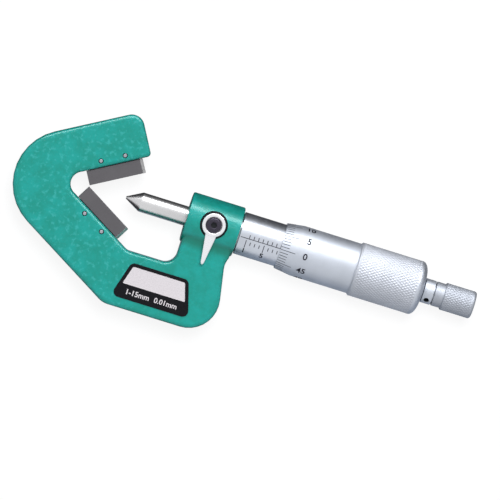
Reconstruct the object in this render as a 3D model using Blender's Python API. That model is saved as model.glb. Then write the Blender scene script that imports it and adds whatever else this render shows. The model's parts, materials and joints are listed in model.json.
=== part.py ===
"""V-anvil micrometer for odd-fluted cutters, 1 to 15 mm, as the pieces it is assembled from.

Everything is in metres with +Z up. The instrument lies flat: its spindle points along X, the
ratchet is at +X, the upper jaw is at +Y, and the lock lever faces up. Frame pieces are drawn from
the apex of the V, where the two measuring faces would meet. Pieces that travel with the spindle
are drawn from the spindle's tip.
"""

import math

import bmesh
import bpy
from mathutils import Matrix, Vector

# Fits, and how far a cutter runs past what it cuts
RUN = 0.0003
SEAT = 0.00015
CUT_MARGIN = 0.001

# Measuring geometry
V_HALF_ANGLE = math.radians(30.0)
READING = 0.0085
READING_MIN = 0.001
READING_MAX = 0.015

# Frame casting
PLATE_THICKNESS = 0.0104
EDGE_ROUND = 0.0012
SEAT_OFFSET = 0.0048
JAW_LENGTH = 0.0218
UPPER_ARM_DEPTH = 0.0144
LOWER_ARM_DEPTH = 0.0172
THROAT_DEPTH = 0.0160
BAR_DEPTH = 0.0183
BACK_ROUND = 0.0173
CROWN_ROUND = 0.0040
NOSE_ROUND = 0.0013
CHIN_ROUND = 0.0060
HEEL_ROUND = 0.0100
HEEL_REACH = 0.0029
NECK_INSET = 0.0014
NECK_DROP = 0.0110
NECK_ROUND = 0.0060
THROAT_ROUND = 0.0040
THROAT_RAMP_ROUND = 0.0030
RELIEF_RADIUS = 0.0040
RELIEF_BACK = 0.0017
PILLAR_SHARE = 0.35

# Boss for the spindle
BOSS_START = 0.03305
BOSS_LENGTH = 0.0174
BOSS_WALL = 0.0023
BOSS_EDGE = 0.0005
BOSS_STAND = 0.0001
BOSS_FILLET = 0.0036
FILLET_FADE = 0.0024
FILLET_TAIL = 0.0005
FILLET_SINK = 0.00012
FILLET_LIFT = 0.00001
FILLET_ROOT_SHARE = 0.96
FILLET_STATIONS = (0.02, 0.1, 0.25, 0.5, 0.75, 1.0)
FILLET_STEPS = 6

# Anvil inserts
ANVIL_LENGTH = 0.0184
ANVIL_START = 0.0005
ANVIL_WIDTH = 0.0080
ANVIL_CHAMFER = 0.0009
TENON_WIDTH = 0.0038
TENON_DEPTH = 0.0038
TENON_INSET = 0.0010
ANVIL_PIN_RADIUS = 0.0007
ANVIL_PIN_DEPTH = 0.0020
ANVIL_PIN_SPACING = 0.0079
ANVIL_PIN_SINK = 0.0001

# Range plate
LABEL_TOP_WIDTH = 0.0190
LABEL_BOTTOM_WIDTH = 0.0260
LABEL_HEIGHT = 0.0118
LABEL_DROP = 0.0032
LABEL_CENTRE = 0.0301
LABEL_THICKNESS = 0.0005
LABEL_ROUND = 0.0018

# Spindle
SPINDLE_RADIUS = 0.003175
TIP_RADIUS = 0.0004
TIP_HALF_ANGLE = math.radians(29.0)
THREAD_STEP = 0.000175
THREAD_RELIEF = 0.0010
CONE_LENGTH = 0.0057
CONE_GROWTH = 0.00125
CONE_HALF_ANGLE = math.radians(9.0)

# Inner sleeve with the split nut
NUT_WALL = 0.00195
INNER_SLEEVE_GRIP = 0.0062
INNER_SLEEVE_PLAIN = 0.0322
NUT_LENGTH = 0.0140
NUT_TAPER = 0.0004
NUT_SLIT_WIDTH = 0.0008
NUT_SLIT_LENGTH = 0.0110
NUT_SLITS = 3
FRONT_BORE_LENGTH = 0.0105

# Outer sleeve with the main scale
SLEEVE_WALL = 0.00105
SLEEVE_END_GAP = 0.0024
SLEEVE_HOLE_RADIUS = 0.0008
SLEEVE_HOLE_INSET = 0.0036

# Adjusting nut
ADJUSTER_LENGTH = 0.0045
ADJUSTER_WALL = 0.00105
ADJUSTER_BACK = 0.0080
ADJUSTER_NOTCH = 0.0012

# Thimble
THIMBLE_EDGE = 0.05185
THIMBLE_LIP = 0.00025
THIMBLE_WALL = 0.00105
BEVEL_LENGTH = 0.00565
SMOOTH_LENGTH = 0.0191
GRIP_LENGTH = 0.0206
GRIP_STEP = 0.00055
DOME_LENGTH = 0.0024
DOME_LAND = 0.0003
HUB_INSET = 0.0007

# Ratchet stop
RATCHET_SCREW_RADIUS = 0.0009
RATCHET_STUD_RADIUS = 0.0020
STUD_LENGTH = 0.0068
NECK_LENGTH = 0.0033
CROWN_WALL = 0.0005
CROWN_WIDTH = 0.0013
TOOTH_COUNT = 20
TOOTH_ROOT = 0.0004
TOOTH_HEIGHT = 0.0005
TOOTH_FLANK = 0.94
DISC_THICKNESS = 0.0014
DISC_KEY_REACH = 0.0003
DISC_KEY_WIDTH = 0.0012
KEY_ROOT = 0.0005
KNOB_WALL = 0.0007
KNOB_GRIP_STEP = 0.0005
KNOB_COLLAR = 0.0030
KNOB_GRIP = 0.0103
KNOB_ROUND = 0.0009
KNOB_WEB = 0.0016
KNOB_SINK = 0.0031
SPANNER_HOLE_RADIUS = 0.0008
SPANNER_HOLE_DEPTH = 0.0012
SPANNER_HOLE_ANGLE = math.radians(44.0)
SPRING_WIRE_RADIUS = 0.00022
SPRING_TURNS = 5
SPRING_POINTS = 14
SCREW_HEAD_LENGTH = 0.0014
SCREW_HEAD_OVERLAP = 0.0011
SCREW_SLOT = 0.0006

# Spindle lock
LOCK_INSET = 0.0089
SPOT_FACE_RADIUS = 0.0045
LOCK_STUD_RADIUS = 0.00175
LOCK_PAD_HEIGHT = 0.0014
LOCK_PAD_DROP = 0.0004
LOCK_HEX = 0.0015
LOCK_HEX_HEIGHT = 0.0012
LEVER_HUB_RADIUS = 0.0038
LEVER_HUB_HEIGHT = 0.00225
LEVER_HUB_CHAMFER = 0.0003
LEVER_REACH = 0.0133
LEVER_ROOT_WIDTH = 0.0038
LEVER_TIP_WIDTH = 0.0014
LEVER_THICKNESS = 0.0012
LEVER_DROOP = 0.0015
LEVER_EDGE = 0.0003
LEVER_FLAT_SHARE = 0.08
LEVER_STATIONS = (0.0, 0.08, 0.2, 0.4, 0.6, 0.8, 0.92, 0.97, 0.995)
LOCK_SCREW_RADIUS = 0.0025
LOCK_SCREW_LIP = 0.0006
LOCK_SCREW_CROWN = 0.0005
LOCK_SHANK_RADIUS = 0.0007
LOCK_SOCKET = 0.0009
LOCK_SOCKET_DEPTH = 0.0007

# Smoothness of curves
ARC_STEP = math.radians(12.0)
TURN_SEGMENTS = 52
MIDDLE_SEGMENTS = 44
SMALL_SEGMENTS = 24
TINY_SEGMENTS = 16
RIM_STEPS = 3
DOME_STEPS = 5
MERGE = 1e-7
SHARP_ANGLE = math.radians(35.0)


def tip_place(reading):
    """Distance from the V's apex to the spindle's tip when a cutter of this diameter is held."""
    return reading / 2 * (1 + 1 / math.sin(V_HALF_ANGLE))


# Radii that follow from the spindle outwards
BORE_RADIUS = SPINDLE_RADIUS + RUN
THREAD_RADIUS = SPINDLE_RADIUS + THREAD_STEP
NUT_BORE = THREAD_RADIUS + RUN
INNER_SLEEVE_RADIUS = NUT_BORE + NUT_WALL
SLEEVE_BORE = INNER_SLEEVE_RADIUS + RUN
SLEEVE_RADIUS = SLEEVE_BORE + SLEEVE_WALL
BOSS_RADIUS = INNER_SLEEVE_RADIUS + RUN + BOSS_WALL
THIMBLE_BORE = SLEEVE_RADIUS + RUN
THIMBLE_RADIUS = THIMBLE_BORE + THIMBLE_WALL
GRIP_RADIUS = THIMBLE_RADIUS + GRIP_STEP

# Places along X, from the apex
HALF_PLATE = PLATE_THICKNESS / 2
BOSS_END = BOSS_START + BOSS_LENGTH
FLOOR_Y = -THROAT_DEPTH
BOTTOM_Y = -(THROAT_DEPTH + BAR_DEPTH)
SLEEVE_SEAT = BOSS_END - INNER_SLEEVE_GRIP
NUT_END = SLEEVE_SEAT + RUN + INNER_SLEEVE_PLAIN + NUT_LENGTH
NUT_START = NUT_END - NUT_LENGTH
ADJUSTER_START = NUT_END - ADJUSTER_BACK
LOCK_X = BOSS_START + LOCK_INSET

# Places along X, from the spindle's tip
THREAD_START = NUT_START - tip_place(READING_MAX)
THREAD_END = NUT_END - tip_place(READING_MIN)
CONE_START = THREAD_END + THREAD_RELIEF
CONE_END = CONE_START + CONE_LENGTH
CONE_RADIUS = THREAD_RADIUS + CONE_GROWTH
GRIP_START = THIMBLE_EDGE + BEVEL_LENGTH + SMOOTH_LENGTH
GRIP_END = GRIP_START + GRIP_LENGTH
THIMBLE_END = GRIP_END + DOME_LENGTH
NECK_START = THIMBLE_END + RUN
NECK_END = NECK_START + NECK_LENGTH
CROWN_TIP = NECK_END + TOOTH_ROOT + TOOTH_HEIGHT
DISC_TIP = CROWN_TIP + RUN
DISC_END = DISC_TIP + TOOTH_HEIGHT + DISC_THICKNESS
KNOB_START = NECK_END + RUN
KNOB_END = KNOB_START + KNOB_COLLAR + KNOB_GRIP
KNOB_FLOOR = KNOB_END - KNOB_SINK
KNOB_WEB_START = KNOB_FLOOR - KNOB_WEB

# Radii of the ratchet, from its screw outwards
RATCHET_BORE = RATCHET_SCREW_RADIUS + RUN
CROWN_INNER = RATCHET_BORE + CROWN_WALL
CROWN_OUTER = CROWN_INNER + CROWN_WIDTH
KNOB_BORE = CROWN_OUTER + RUN
NECK_RADIUS = KNOB_BORE + KNOB_WALL
KNOB_RADIUS = NECK_RADIUS + KNOB_GRIP_STEP

# Heights of the lock above the spindle's axis
SPOT_FACE_Z = math.sqrt(BOSS_RADIUS ** 2 - SPOT_FACE_RADIUS ** 2)
PAD_TOP = BORE_RADIUS + LOCK_PAD_HEIGHT
LEVER_BOTTOM = SPOT_FACE_Z + RUN
LEVER_TOP = LEVER_BOTTOM + LEVER_HUB_HEIGHT
LOCK_HEX_TOP = LEVER_BOTTOM + LOCK_HEX_HEIGHT
SCREW_SEAT = LOCK_HEX_TOP + SEAT
LOCK_HEAD_BASE = SCREW_SEAT + SEAT


def clear_scene():
    """Remove what the scene holds."""
    for old in list(bpy.data.objects):
        bpy.data.objects.remove(old, do_unlink=True)


def link(name, bm):
    """Turn a bmesh into an object with its faces pointing out."""
    bmesh.ops.recalc_face_normals(bm, faces=bm.faces)
    if bm.calc_volume(signed=True) < 0:
        bmesh.ops.reverse_faces(bm, faces=bm.faces)
    mesh = bpy.data.meshes.new(name)
    bm.to_mesh(mesh)
    bm.free()
    piece = bpy.data.objects.new(name, mesh)
    bpy.context.scene.collection.objects.link(piece)
    return piece


def combine(target, tool, operation):
    """Join the tool to the target, or cut it away, and use the tool up."""
    step = target.modifiers.new(operation, "BOOLEAN")
    step.operation = operation
    step.solver = "EXACT"
    step.object = tool
    bpy.context.view_layer.update()
    depsgraph = bpy.context.evaluated_depsgraph_get()
    result = bpy.data.meshes.new_from_object(target.evaluated_get(depsgraph))
    target.modifiers.clear()
    target.data = result
    bpy.data.objects.remove(tool, do_unlink=True)
    return target


def join(target, tool):
    """Unite two solids."""
    return combine(target, tool, "UNION")


def cut(target, tool):
    """Take the tool's space out of the target."""
    return combine(target, tool, "DIFFERENCE")


def turned(name, profile, segments=TURN_SEGMENTS, hollow=False):
    """Solid turned about X from (x, radius) points; a hollow one's profile is a closed ring."""
    bm = bmesh.new()
    verts = [bm.verts.new((x, 0.0, radius)) for x, radius in profile]
    edges = [bm.edges.new(pair) for pair in zip(verts, verts[1:])]
    if hollow:
        edges.append(bm.edges.new((verts[-1], verts[0])))
    bmesh.ops.spin(
        bm,
        geom=verts + edges,
        cent=(0, 0, 0),
        axis=(1, 0, 0),
        angle=2 * math.pi,
        steps=segments,
    )
    bmesh.ops.remove_doubles(bm, verts=bm.verts, dist=MERGE)
    return link(name, bm)


def upright(piece):
    """Turn a piece drawn along X so that it stands along Z."""
    piece.data.transform(Matrix.Rotation(-math.pi / 2, 4, "Y"))
    return piece


def rod(name, radius, start, end, segments=SMALL_SEGMENTS):
    """Round bar between two points."""
    start, end = Vector(start), Vector(end)
    span = end - start
    turn = Vector((0, 0, 1)).rotation_difference(span).to_matrix().to_4x4()
    bm = bmesh.new()
    bmesh.ops.create_cone(
        bm,
        cap_ends=True,
        segments=segments,
        radius1=radius,
        radius2=radius,
        depth=span.length,
        matrix=Matrix.Translation((start + end) / 2) @ turn,
    )
    return link(name, bm)


def block(name, low, high):
    """Box between two opposite corners."""
    low, high = Vector(low), Vector(high)
    bm = bmesh.new()
    size = Matrix.Diagonal((*(high - low), 1.0))
    bmesh.ops.create_cube(bm, size=1.0, matrix=Matrix.Translation((low + high) / 2) @ size)
    return link(name, bm)


def slab(name, outline, low, high, rim=0.0):
    """Flat piece between two heights, with both rims rounded when a rim radius is given."""
    bm = bmesh.new()
    face = bm.faces.new([bm.verts.new((p.x, p.y, low)) for p in outline])
    grown = bmesh.ops.extrude_face_region(bm, geom=[face])["geom"]
    moved = [item for item in grown if isinstance(item, bmesh.types.BMVert)]
    bmesh.ops.translate(bm, verts=moved, vec=(0, 0, high - low))
    if rim > 0:
        flat = [e for e in bm.edges if abs(e.verts[0].co.z - e.verts[1].co.z) < MERGE]
        bmesh.ops.bevel(
            bm,
            geom=flat,
            offset=rim,
            segments=RIM_STEPS,
            profile=0.5,
            affect="EDGES",
        )
    return link(name, bm)


def loft(name, loops, cyclic=False):
    """Skin over loops of equal point count; the last loop meets the first, or both ends are capped."""
    bm = bmesh.new()
    rings = [[bm.verts.new(point) for point in loop] for loop in loops]
    count = len(rings[0])
    pairs = list(zip(rings, rings[1:]))
    if cyclic:
        pairs.append((rings[-1], rings[0]))
    for first, second in pairs:
        for i in range(count):
            j = (i + 1) % count
            bm.faces.new((first[i], first[j], second[j], second[i]))
    if not cyclic:
        bm.faces.new(rings[0])
        bm.faces.new(rings[-1])
    return link(name, bm)


def arc(centre, radius, start, turn):
    """Points along an arc, from a start angle through a turn, both ends included."""
    steps = max(2, math.ceil(abs(turn) / ARC_STEP))
    angles = [start + turn * i / steps for i in range(steps + 1)]
    return [centre + Vector((math.cos(a), math.sin(a))) * radius for a in angles]


def rounded(corners):
    """Outline through (corner, radius) pairs, each corner replaced by its tangent arc."""
    outline = []
    for i, (corner, radius) in enumerate(corners):
        if radius == 0:
            outline.append(corner)
            continue
        before = (corners[i - 1][0] - corner).normalized()
        after = (corners[(i + 1) % len(corners)][0] - corner).normalized()
        half = before.angle(after) / 2
        centre = corner + (before + after).normalized() * radius / math.sin(half)
        first = corner + before * radius / math.tan(half) - centre
        last = corner + after * radius / math.tan(half) - centre
        start = math.atan2(first.y, first.x)
        turn = math.atan2(first.cross(last), first.dot(last))
        outline += arc(centre, radius, start, turn)
    return outline


def meet(point, along, other, other_along):
    """Where two lines in the plane cross."""
    return point + along * ((other - point).cross(other_along) / along.cross(other_along))


def on_jaw(side, along, out):
    """Point at a distance along a measuring face from the apex, and out from it into its jaw."""
    c, s = math.cos(V_HALF_ANGLE), math.sin(V_HALF_ANGLE)
    return Vector((along * c - out * s, side * (along * s + out * c)))


def jaw_direction(side):
    """Unit vector along a measuring face, away from the apex."""
    return Vector((math.cos(V_HALF_ANGLE), side * math.sin(V_HALF_ANGLE)))


def relief_arc():
    """Drilled relief behind the V, from the lower seat round to the upper one."""
    centre = Vector((-RELIEF_BACK, 0))
    out = SEAT_OFFSET - RELIEF_BACK * math.sin(V_HALF_ANGLE)
    start = math.pi / 2 + V_HALF_ANGLE - math.acos(min(1.0, out / RELIEF_RADIUS))
    return arc(centre, RELIEF_RADIUS, -start, -2 * (math.pi - start))


def frame_outline():
    """Outline of the casting's flat plate, anticlockwise from the heel at the lower right."""
    level = Vector((1, 0))
    lower_seat = on_jaw(-1, 0, SEAT_OFFSET)
    upper_back = on_jaw(1, 0, SEAT_OFFSET + UPPER_ARM_DEPTH)
    lower_back = on_jaw(-1, 0, SEAT_OFFSET + LOWER_ARM_DEPTH)
    ramp = meet(lower_seat, jaw_direction(-1), Vector((0, FLOOR_Y)), level)
    back = meet(upper_back, jaw_direction(1), lower_back, jaw_direction(-1))
    chin = meet(lower_back, jaw_direction(-1), Vector((0, BOTTOM_Y)), level)
    pillar_top = -BOSS_RADIUS * PILLAR_SHARE
    flank = BOSS_STAND + BOSS_EDGE
    corners = [
        (Vector((BOSS_END + HEEL_REACH, BOTTOM_Y)), HEEL_ROUND),
        (Vector((BOSS_END - NECK_INSET, -NECK_DROP)), NECK_ROUND),
        (Vector((BOSS_END - flank, -BOSS_RADIUS - FILLET_TAIL)), 0),
        (Vector((BOSS_END - flank, pillar_top)), 0),
        (Vector((BOSS_START + flank, pillar_top)), 0),
        (Vector((BOSS_START + flank, FLOOR_Y)), THROAT_ROUND),
        (ramp, THROAT_RAMP_ROUND),
    ]
    corners += [(point, 0) for point in relief_arc()]
    corners += [
        (on_jaw(1, JAW_LENGTH, SEAT_OFFSET), NOSE_ROUND),
        (on_jaw(1, JAW_LENGTH, SEAT_OFFSET + UPPER_ARM_DEPTH), CROWN_ROUND),
        (back, BACK_ROUND),
        (chin, CHIN_ROUND),
    ]
    return rounded(corners)


def boss_fillet():
    """Blend between the round boss and the flat plate, fading out over the plate's rounded rims."""
    left = BOSS_START + BOSS_STAND + BOSS_EDGE
    right = BOSS_END - BOSS_STAND - BOSS_EDGE
    insets = [FILLET_FADE * share for share in FILLET_STATIONS]
    places = [left + u for u in insets] + [right - u for u in reversed(insets)]
    loops = []
    for x, u in zip(places, insets + insets[::-1]):
        rim = max(0.0, EDGE_ROUND - u)
        drop = EDGE_ROUND - math.sqrt(EDGE_ROUND ** 2 - rim ** 2)
        height = HALF_PLATE - drop + FILLET_LIFT
        radius = BOSS_FILLET * math.sin(math.pi / 2 * u / FILLET_FADE)
        y = -math.sqrt((BOSS_RADIUS + radius) ** 2 - (height + radius) ** 2)
        centre = Vector((y, height + radius))
        on_boss = math.atan2(-centre.y, -centre.x)
        turn = -math.pi / 2 - on_boss
        angles = [on_boss + turn * i / FILLET_STEPS for i in range(FILLET_STEPS + 1)]
        curve = [centre + Vector((math.cos(a), math.sin(a))) * radius for a in angles]
        tail = Vector((y - FILLET_TAIL, height - FILLET_SINK))
        buried = [curve[0] * FILLET_ROOT_SHARE] + curve + [tail]
        mirrored = [Vector((p.x, -p.y)) for p in reversed(buried)]
        loops.append([(x, p.x, p.y) for p in buried + mirrored])
    return loft("boss_fillet", loops)


def mortise(side):
    """Slot in a jaw's seat for the tenon of its anvil."""
    start = ANVIL_START + TENON_INSET - RUN
    end = ANVIL_START + ANVIL_LENGTH - TENON_INSET + RUN
    depth = SEAT_OFFSET + TENON_DEPTH + RUN
    corners = [
        on_jaw(side, start, SEAT_OFFSET - CUT_MARGIN),
        on_jaw(side, end, SEAT_OFFSET - CUT_MARGIN),
        on_jaw(side, end, depth),
        on_jaw(side, start, depth),
    ]
    half = TENON_WIDTH / 2 + SEAT
    return slab("mortise", corners, -half, half)


def anvil_pin_places(side):
    """Centres of the two cross pins of a jaw."""
    middle = ANVIL_START + ANVIL_LENGTH / 2
    reach = ANVIL_PIN_SPACING / 2
    out = SEAT_OFFSET + ANVIL_PIN_DEPTH
    return [on_jaw(side, middle - reach, out), on_jaw(side, middle + reach, out)]


def frame_casting():
    """The C-shaped casting: plate, round boss, their blend, then the machined seats and bores."""
    casting = slab("frame", frame_outline(), -HALF_PLATE, HALF_PLATE, rim=EDGE_ROUND)
    half_edge = BOSS_EDGE * (1 - math.sqrt(0.5))
    boss = turned("boss", [
        (BOSS_START, 0),
        (BOSS_START, BOSS_RADIUS - BOSS_EDGE),
        (BOSS_START + half_edge, BOSS_RADIUS - half_edge),
        (BOSS_START + BOSS_EDGE, BOSS_RADIUS),
        (BOSS_END - BOSS_EDGE, BOSS_RADIUS),
        (BOSS_END - half_edge, BOSS_RADIUS - half_edge),
        (BOSS_END, BOSS_RADIUS - BOSS_EDGE),
        (BOSS_END, 0),
    ])
    join(casting, boss)
    join(casting, boss_fillet())
    spindle_bore = turned("spindle_bore", [
        (BOSS_START - CUT_MARGIN, 0),
        (BOSS_START - CUT_MARGIN, BORE_RADIUS),
        (SLEEVE_SEAT, BORE_RADIUS),
        (SLEEVE_SEAT, SLEEVE_BORE),
        (BOSS_END + CUT_MARGIN, SLEEVE_BORE),
        (BOSS_END + CUT_MARGIN, 0),
    ])
    cut(casting, spindle_bore)
    over = BOSS_RADIUS + CUT_MARGIN
    ends = [(LOCK_X, 0, SPOT_FACE_Z), (LOCK_X, 0, over)]
    cut(casting, rod("spot_face", SPOT_FACE_RADIUS, *ends, segments=MIDDLE_SEGMENTS))
    hole = LOCK_STUD_RADIUS + RUN
    cut(casting, rod("lock_hole", hole, (LOCK_X, 0, 0), (LOCK_X, 0, over)))
    for side in (1, -1):
        cut(casting, mortise(side))
        for place in anvil_pin_places(side):
            ends = [(place.x, place.y, z * (HALF_PLATE + CUT_MARGIN)) for z in (-1, 1)]
            cut(casting, rod("pin_hole", ANVIL_PIN_RADIUS + SEAT, *ends, segments=TINY_SEGMENTS))
    return casting


def anvil(name, side):
    """Hardened insert: a bar whose inner face measures, with a tenon that sits in the jaw."""
    end = ANVIL_START + ANVIL_LENGTH
    body = [(ANVIL_START, 0), (end, 0), (end, SEAT_OFFSET - SEAT), (ANVIL_START, SEAT_OFFSET - SEAT)]
    half = ANVIL_WIDTH / 2
    insert = slab(name, [on_jaw(side, s, d) for s, d in body], -half, half)
    for face in (-1, 1):
        inner = half - ANVIL_CHAMFER - CUT_MARGIN
        outer = half + CUT_MARGIN
        corner = [
            (end + CUT_MARGIN, face * inner),
            (end + CUT_MARGIN, face * outer),
            (end - ANVIL_CHAMFER - CUT_MARGIN, face * outer),
        ]
        loops = []
        for out in (-CUT_MARGIN, SEAT_OFFSET + CUT_MARGIN):
            places = [(on_jaw(side, s, out), z) for s, z in corner]
            loops.append([(p.x, p.y, z) for p, z in places])
        cut(insert, loft("chamfer", loops))
    foot = SEAT_OFFSET - 2 * SEAT
    tip = SEAT_OFFSET + TENON_DEPTH
    start, stop = ANVIL_START + TENON_INSET, end - TENON_INSET
    tenon = [(start, foot), (stop, foot), (stop, tip), (start, tip)]
    half_tenon = TENON_WIDTH / 2
    join(insert, slab("tenon", [on_jaw(side, s, d) for s, d in tenon], -half_tenon, half_tenon))
    for place in anvil_pin_places(side):
        ends = [(place.x, place.y, z * half) for z in (-1, 1)]
        cut(insert, rod("pin_hole", ANVIL_PIN_RADIUS + SEAT, *ends, segments=TINY_SEGMENTS))
    return insert


def anvil_pin(name, place):
    """Cross pin through the jaw and the anvil's tenon."""
    reach = HALF_PLATE - ANVIL_PIN_SINK
    ends = [(place.x, place.y, -reach), (place.x, place.y, reach)]
    return rod(name, ANVIL_PIN_RADIUS, *ends, segments=TINY_SEGMENTS)


def range_plate():
    """Small plate on the front of the frame, wider at its foot."""
    top = FLOOR_Y - LABEL_DROP
    foot = top - LABEL_HEIGHT
    corners = [
        (LABEL_CENTRE - LABEL_BOTTOM_WIDTH / 2, foot),
        (LABEL_CENTRE + LABEL_BOTTOM_WIDTH / 2, foot),
        (LABEL_CENTRE + LABEL_TOP_WIDTH / 2, top),
        (LABEL_CENTRE - LABEL_TOP_WIDTH / 2, top),
    ]
    outline = rounded([(Vector(corner), LABEL_ROUND) for corner in corners])
    return slab("range_plate", outline, HALF_PLATE, HALF_PLATE + LABEL_THICKNESS)


def inner_sleeve():
    """Bearing tube pressed into the boss; its far end is the split nut that holds the screw."""
    start = SLEEVE_SEAT + RUN
    front = start + FRONT_BORE_LENGTH
    sleeve = turned("inner_sleeve", [
        (start, BORE_RADIUS),
        (start, INNER_SLEEVE_RADIUS),
        (NUT_START, INNER_SLEEVE_RADIUS),
        (NUT_END, INNER_SLEEVE_RADIUS - NUT_TAPER),
        (NUT_END, NUT_BORE),
        (front + RUN, NUT_BORE),
        (front, BORE_RADIUS),
    ], hollow=True)
    for i in range(NUT_SLITS):
        half = NUT_SLIT_WIDTH / 2
        slit = block(
            "slit",
            (NUT_END - NUT_SLIT_LENGTH, -half, 0),
            (NUT_END + CUT_MARGIN, half, INNER_SLEEVE_RADIUS + CUT_MARGIN),
        )
        slit.data.transform(Matrix.Rotation(2 * math.pi * i / NUT_SLITS, 4, "X"))
        cut(sleeve, slit)
    return sleeve


def outer_sleeve():
    """Thin sleeve that carries the main scale, with a spanner hole at its back for zeroing."""
    start = BOSS_END + RUN
    end = ADJUSTER_START - SLEEVE_END_GAP
    sleeve = turned("outer_sleeve", [
        (start, SLEEVE_BORE),
        (start, SLEEVE_RADIUS),
        (end, SLEEVE_RADIUS),
        (end, SLEEVE_BORE),
    ], hollow=True)
    x = start + SLEEVE_HOLE_INSET
    ends = [(x, 0, CUT_MARGIN - SLEEVE_BORE), (x, 0, -SLEEVE_RADIUS - CUT_MARGIN)]
    return cut(sleeve, rod("spanner_hole", SLEEVE_HOLE_RADIUS, *ends, segments=TINY_SEGMENTS))


def adjusting_nut():
    """Taper nut that closes the split end on the screw, with two spanner notches."""
    start = ADJUSTER_START
    end = start + ADJUSTER_LENGTH
    bore = INNER_SLEEVE_RADIUS + RUN
    outside = bore + ADJUSTER_WALL
    nut = turned("adjusting_nut", [
        (start, bore),
        (start, outside),
        (end, outside),
        (end, bore),
    ], hollow=True)
    half = ADJUSTER_NOTCH / 2
    for side in (-1, 1):
        faces = sorted((side * (bore - CUT_MARGIN), side * (outside + CUT_MARGIN)))
        low = (end - ADJUSTER_NOTCH, faces[0], -half)
        cut(nut, block("notch", low, (end + CUT_MARGIN, faces[1], half)))
    return nut


def spindle():
    """Ground rod: cone point, plain journal, screw, then the cone that carries the thimble."""
    point = (SPINDLE_RADIUS - TIP_RADIUS) / math.tan(TIP_HALF_ANGLE)
    hole = RATCHET_STUD_RADIUS + RUN
    hole_floor = NECK_START - STUD_LENGTH - RUN
    small_end = CONE_RADIUS - CONE_LENGTH * math.tan(CONE_HALF_ANGLE)
    return turned("spindle", [
        (0, 0),
        (0, TIP_RADIUS),
        (point, SPINDLE_RADIUS),
        (THREAD_START - THREAD_RELIEF, SPINDLE_RADIUS),
        (THREAD_START - THREAD_RELIEF, SPINDLE_RADIUS - THREAD_STEP),
        (THREAD_START, SPINDLE_RADIUS - THREAD_STEP),
        (THREAD_START, THREAD_RADIUS),
        (THREAD_END, THREAD_RADIUS),
        (THREAD_END, SPINDLE_RADIUS - THREAD_STEP),
        (CONE_START, SPINDLE_RADIUS - THREAD_STEP),
        (CONE_START, CONE_RADIUS),
        (CONE_END, small_end),
        (CONE_END, hole),
        (hole_floor, hole),
        (hole_floor, 0),
    ])


def dome(start, end, low, high):
    """Quarter-ellipse profile that falls from a high radius to a low one."""
    angles = [math.pi / 2 * i / DOME_STEPS for i in range(DOME_STEPS + 1)]
    return [(start + (end - start) * math.sin(a), low + (high - low) * math.cos(a)) for a in angles]


def thimble():
    """Drum with a bevelled reading edge, a grip band, a domed end and a taper bore in its hub."""
    slope = math.tan(CONE_HALF_ANGLE)
    hub = CONE_START + HUB_INSET
    shoulder = CONE_END + HUB_INSET
    hub_bore = CONE_RADIUS - HUB_INSET * slope + RUN
    shoulder_bore = CONE_RADIUS - (CONE_LENGTH + HUB_INSET) * slope + RUN
    stud_bore = RATCHET_STUD_RADIUS + RUN + SEAT
    land = NECK_RADIUS + DOME_LAND
    profile = [
        (THIMBLE_EDGE, THIMBLE_BORE),
        (THIMBLE_EDGE, THIMBLE_BORE + THIMBLE_LIP),
        (THIMBLE_EDGE + BEVEL_LENGTH, THIMBLE_RADIUS),
        (GRIP_START, THIMBLE_RADIUS),
        (GRIP_START, GRIP_RADIUS),
    ]
    profile += dome(GRIP_END, THIMBLE_END, land, GRIP_RADIUS)
    profile += [
        (THIMBLE_END, stud_bore),
        (shoulder, stud_bore),
        (shoulder, shoulder_bore),
        (hub, hub_bore),
        (hub, THIMBLE_BORE),
    ]
    return turned("thimble", profile, hollow=True)


def crown(name, base, root, tip, inner, outer):
    """Ring of saw teeth about X, each climbing slowly from root to tip and dropping steeply."""
    loops = []
    for i in range(TOOTH_COUNT):
        for share, x in ((0.0, root), (TOOTH_FLANK, tip)):
            angle = 2 * math.pi * (i + share) / TOOTH_COUNT
            c, s = math.cos(angle), math.sin(angle)
            corners = [(base, inner), (base, outer), (x, outer), (x, inner)]
            loops.append([(place, radius * c, radius * s) for place, radius in corners])
    return loft(name, loops, cyclic=True)


def ratchet_base():
    """Screw-in body of the ratchet: stud, neck with a spanner hole, and a crown of teeth."""
    bore_floor = NECK_START - RATCHET_STUD_RADIUS
    base = turned("ratchet_base", [
        (NECK_START - STUD_LENGTH, 0),
        (NECK_START - STUD_LENGTH, RATCHET_STUD_RADIUS),
        (NECK_START, RATCHET_STUD_RADIUS),
        (NECK_START, NECK_RADIUS),
        (NECK_END, NECK_RADIUS),
        (NECK_END, RATCHET_BORE),
        (bore_floor, RATCHET_BORE),
        (bore_floor, 0),
    ], segments=MIDDLE_SEGMENTS)
    root = NECK_END + TOOTH_ROOT
    join(base, crown("teeth", NECK_END - TOOTH_ROOT, root, CROWN_TIP, CROWN_INNER, CROWN_OUTER))
    x = NECK_START + NECK_LENGTH / 2
    out = Vector((0, -math.sin(SPANNER_HOLE_ANGLE), math.cos(SPANNER_HOLE_ANGLE)))
    ends = [
        Vector((x, 0, 0)) + out * (NECK_RADIUS - SPANNER_HOLE_DEPTH),
        Vector((x, 0, 0)) + out * (NECK_RADIUS + CUT_MARGIN),
    ]
    return cut(base, rod("spanner_hole", SPANNER_HOLE_RADIUS, *ends, segments=TINY_SEGMENTS))


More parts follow.
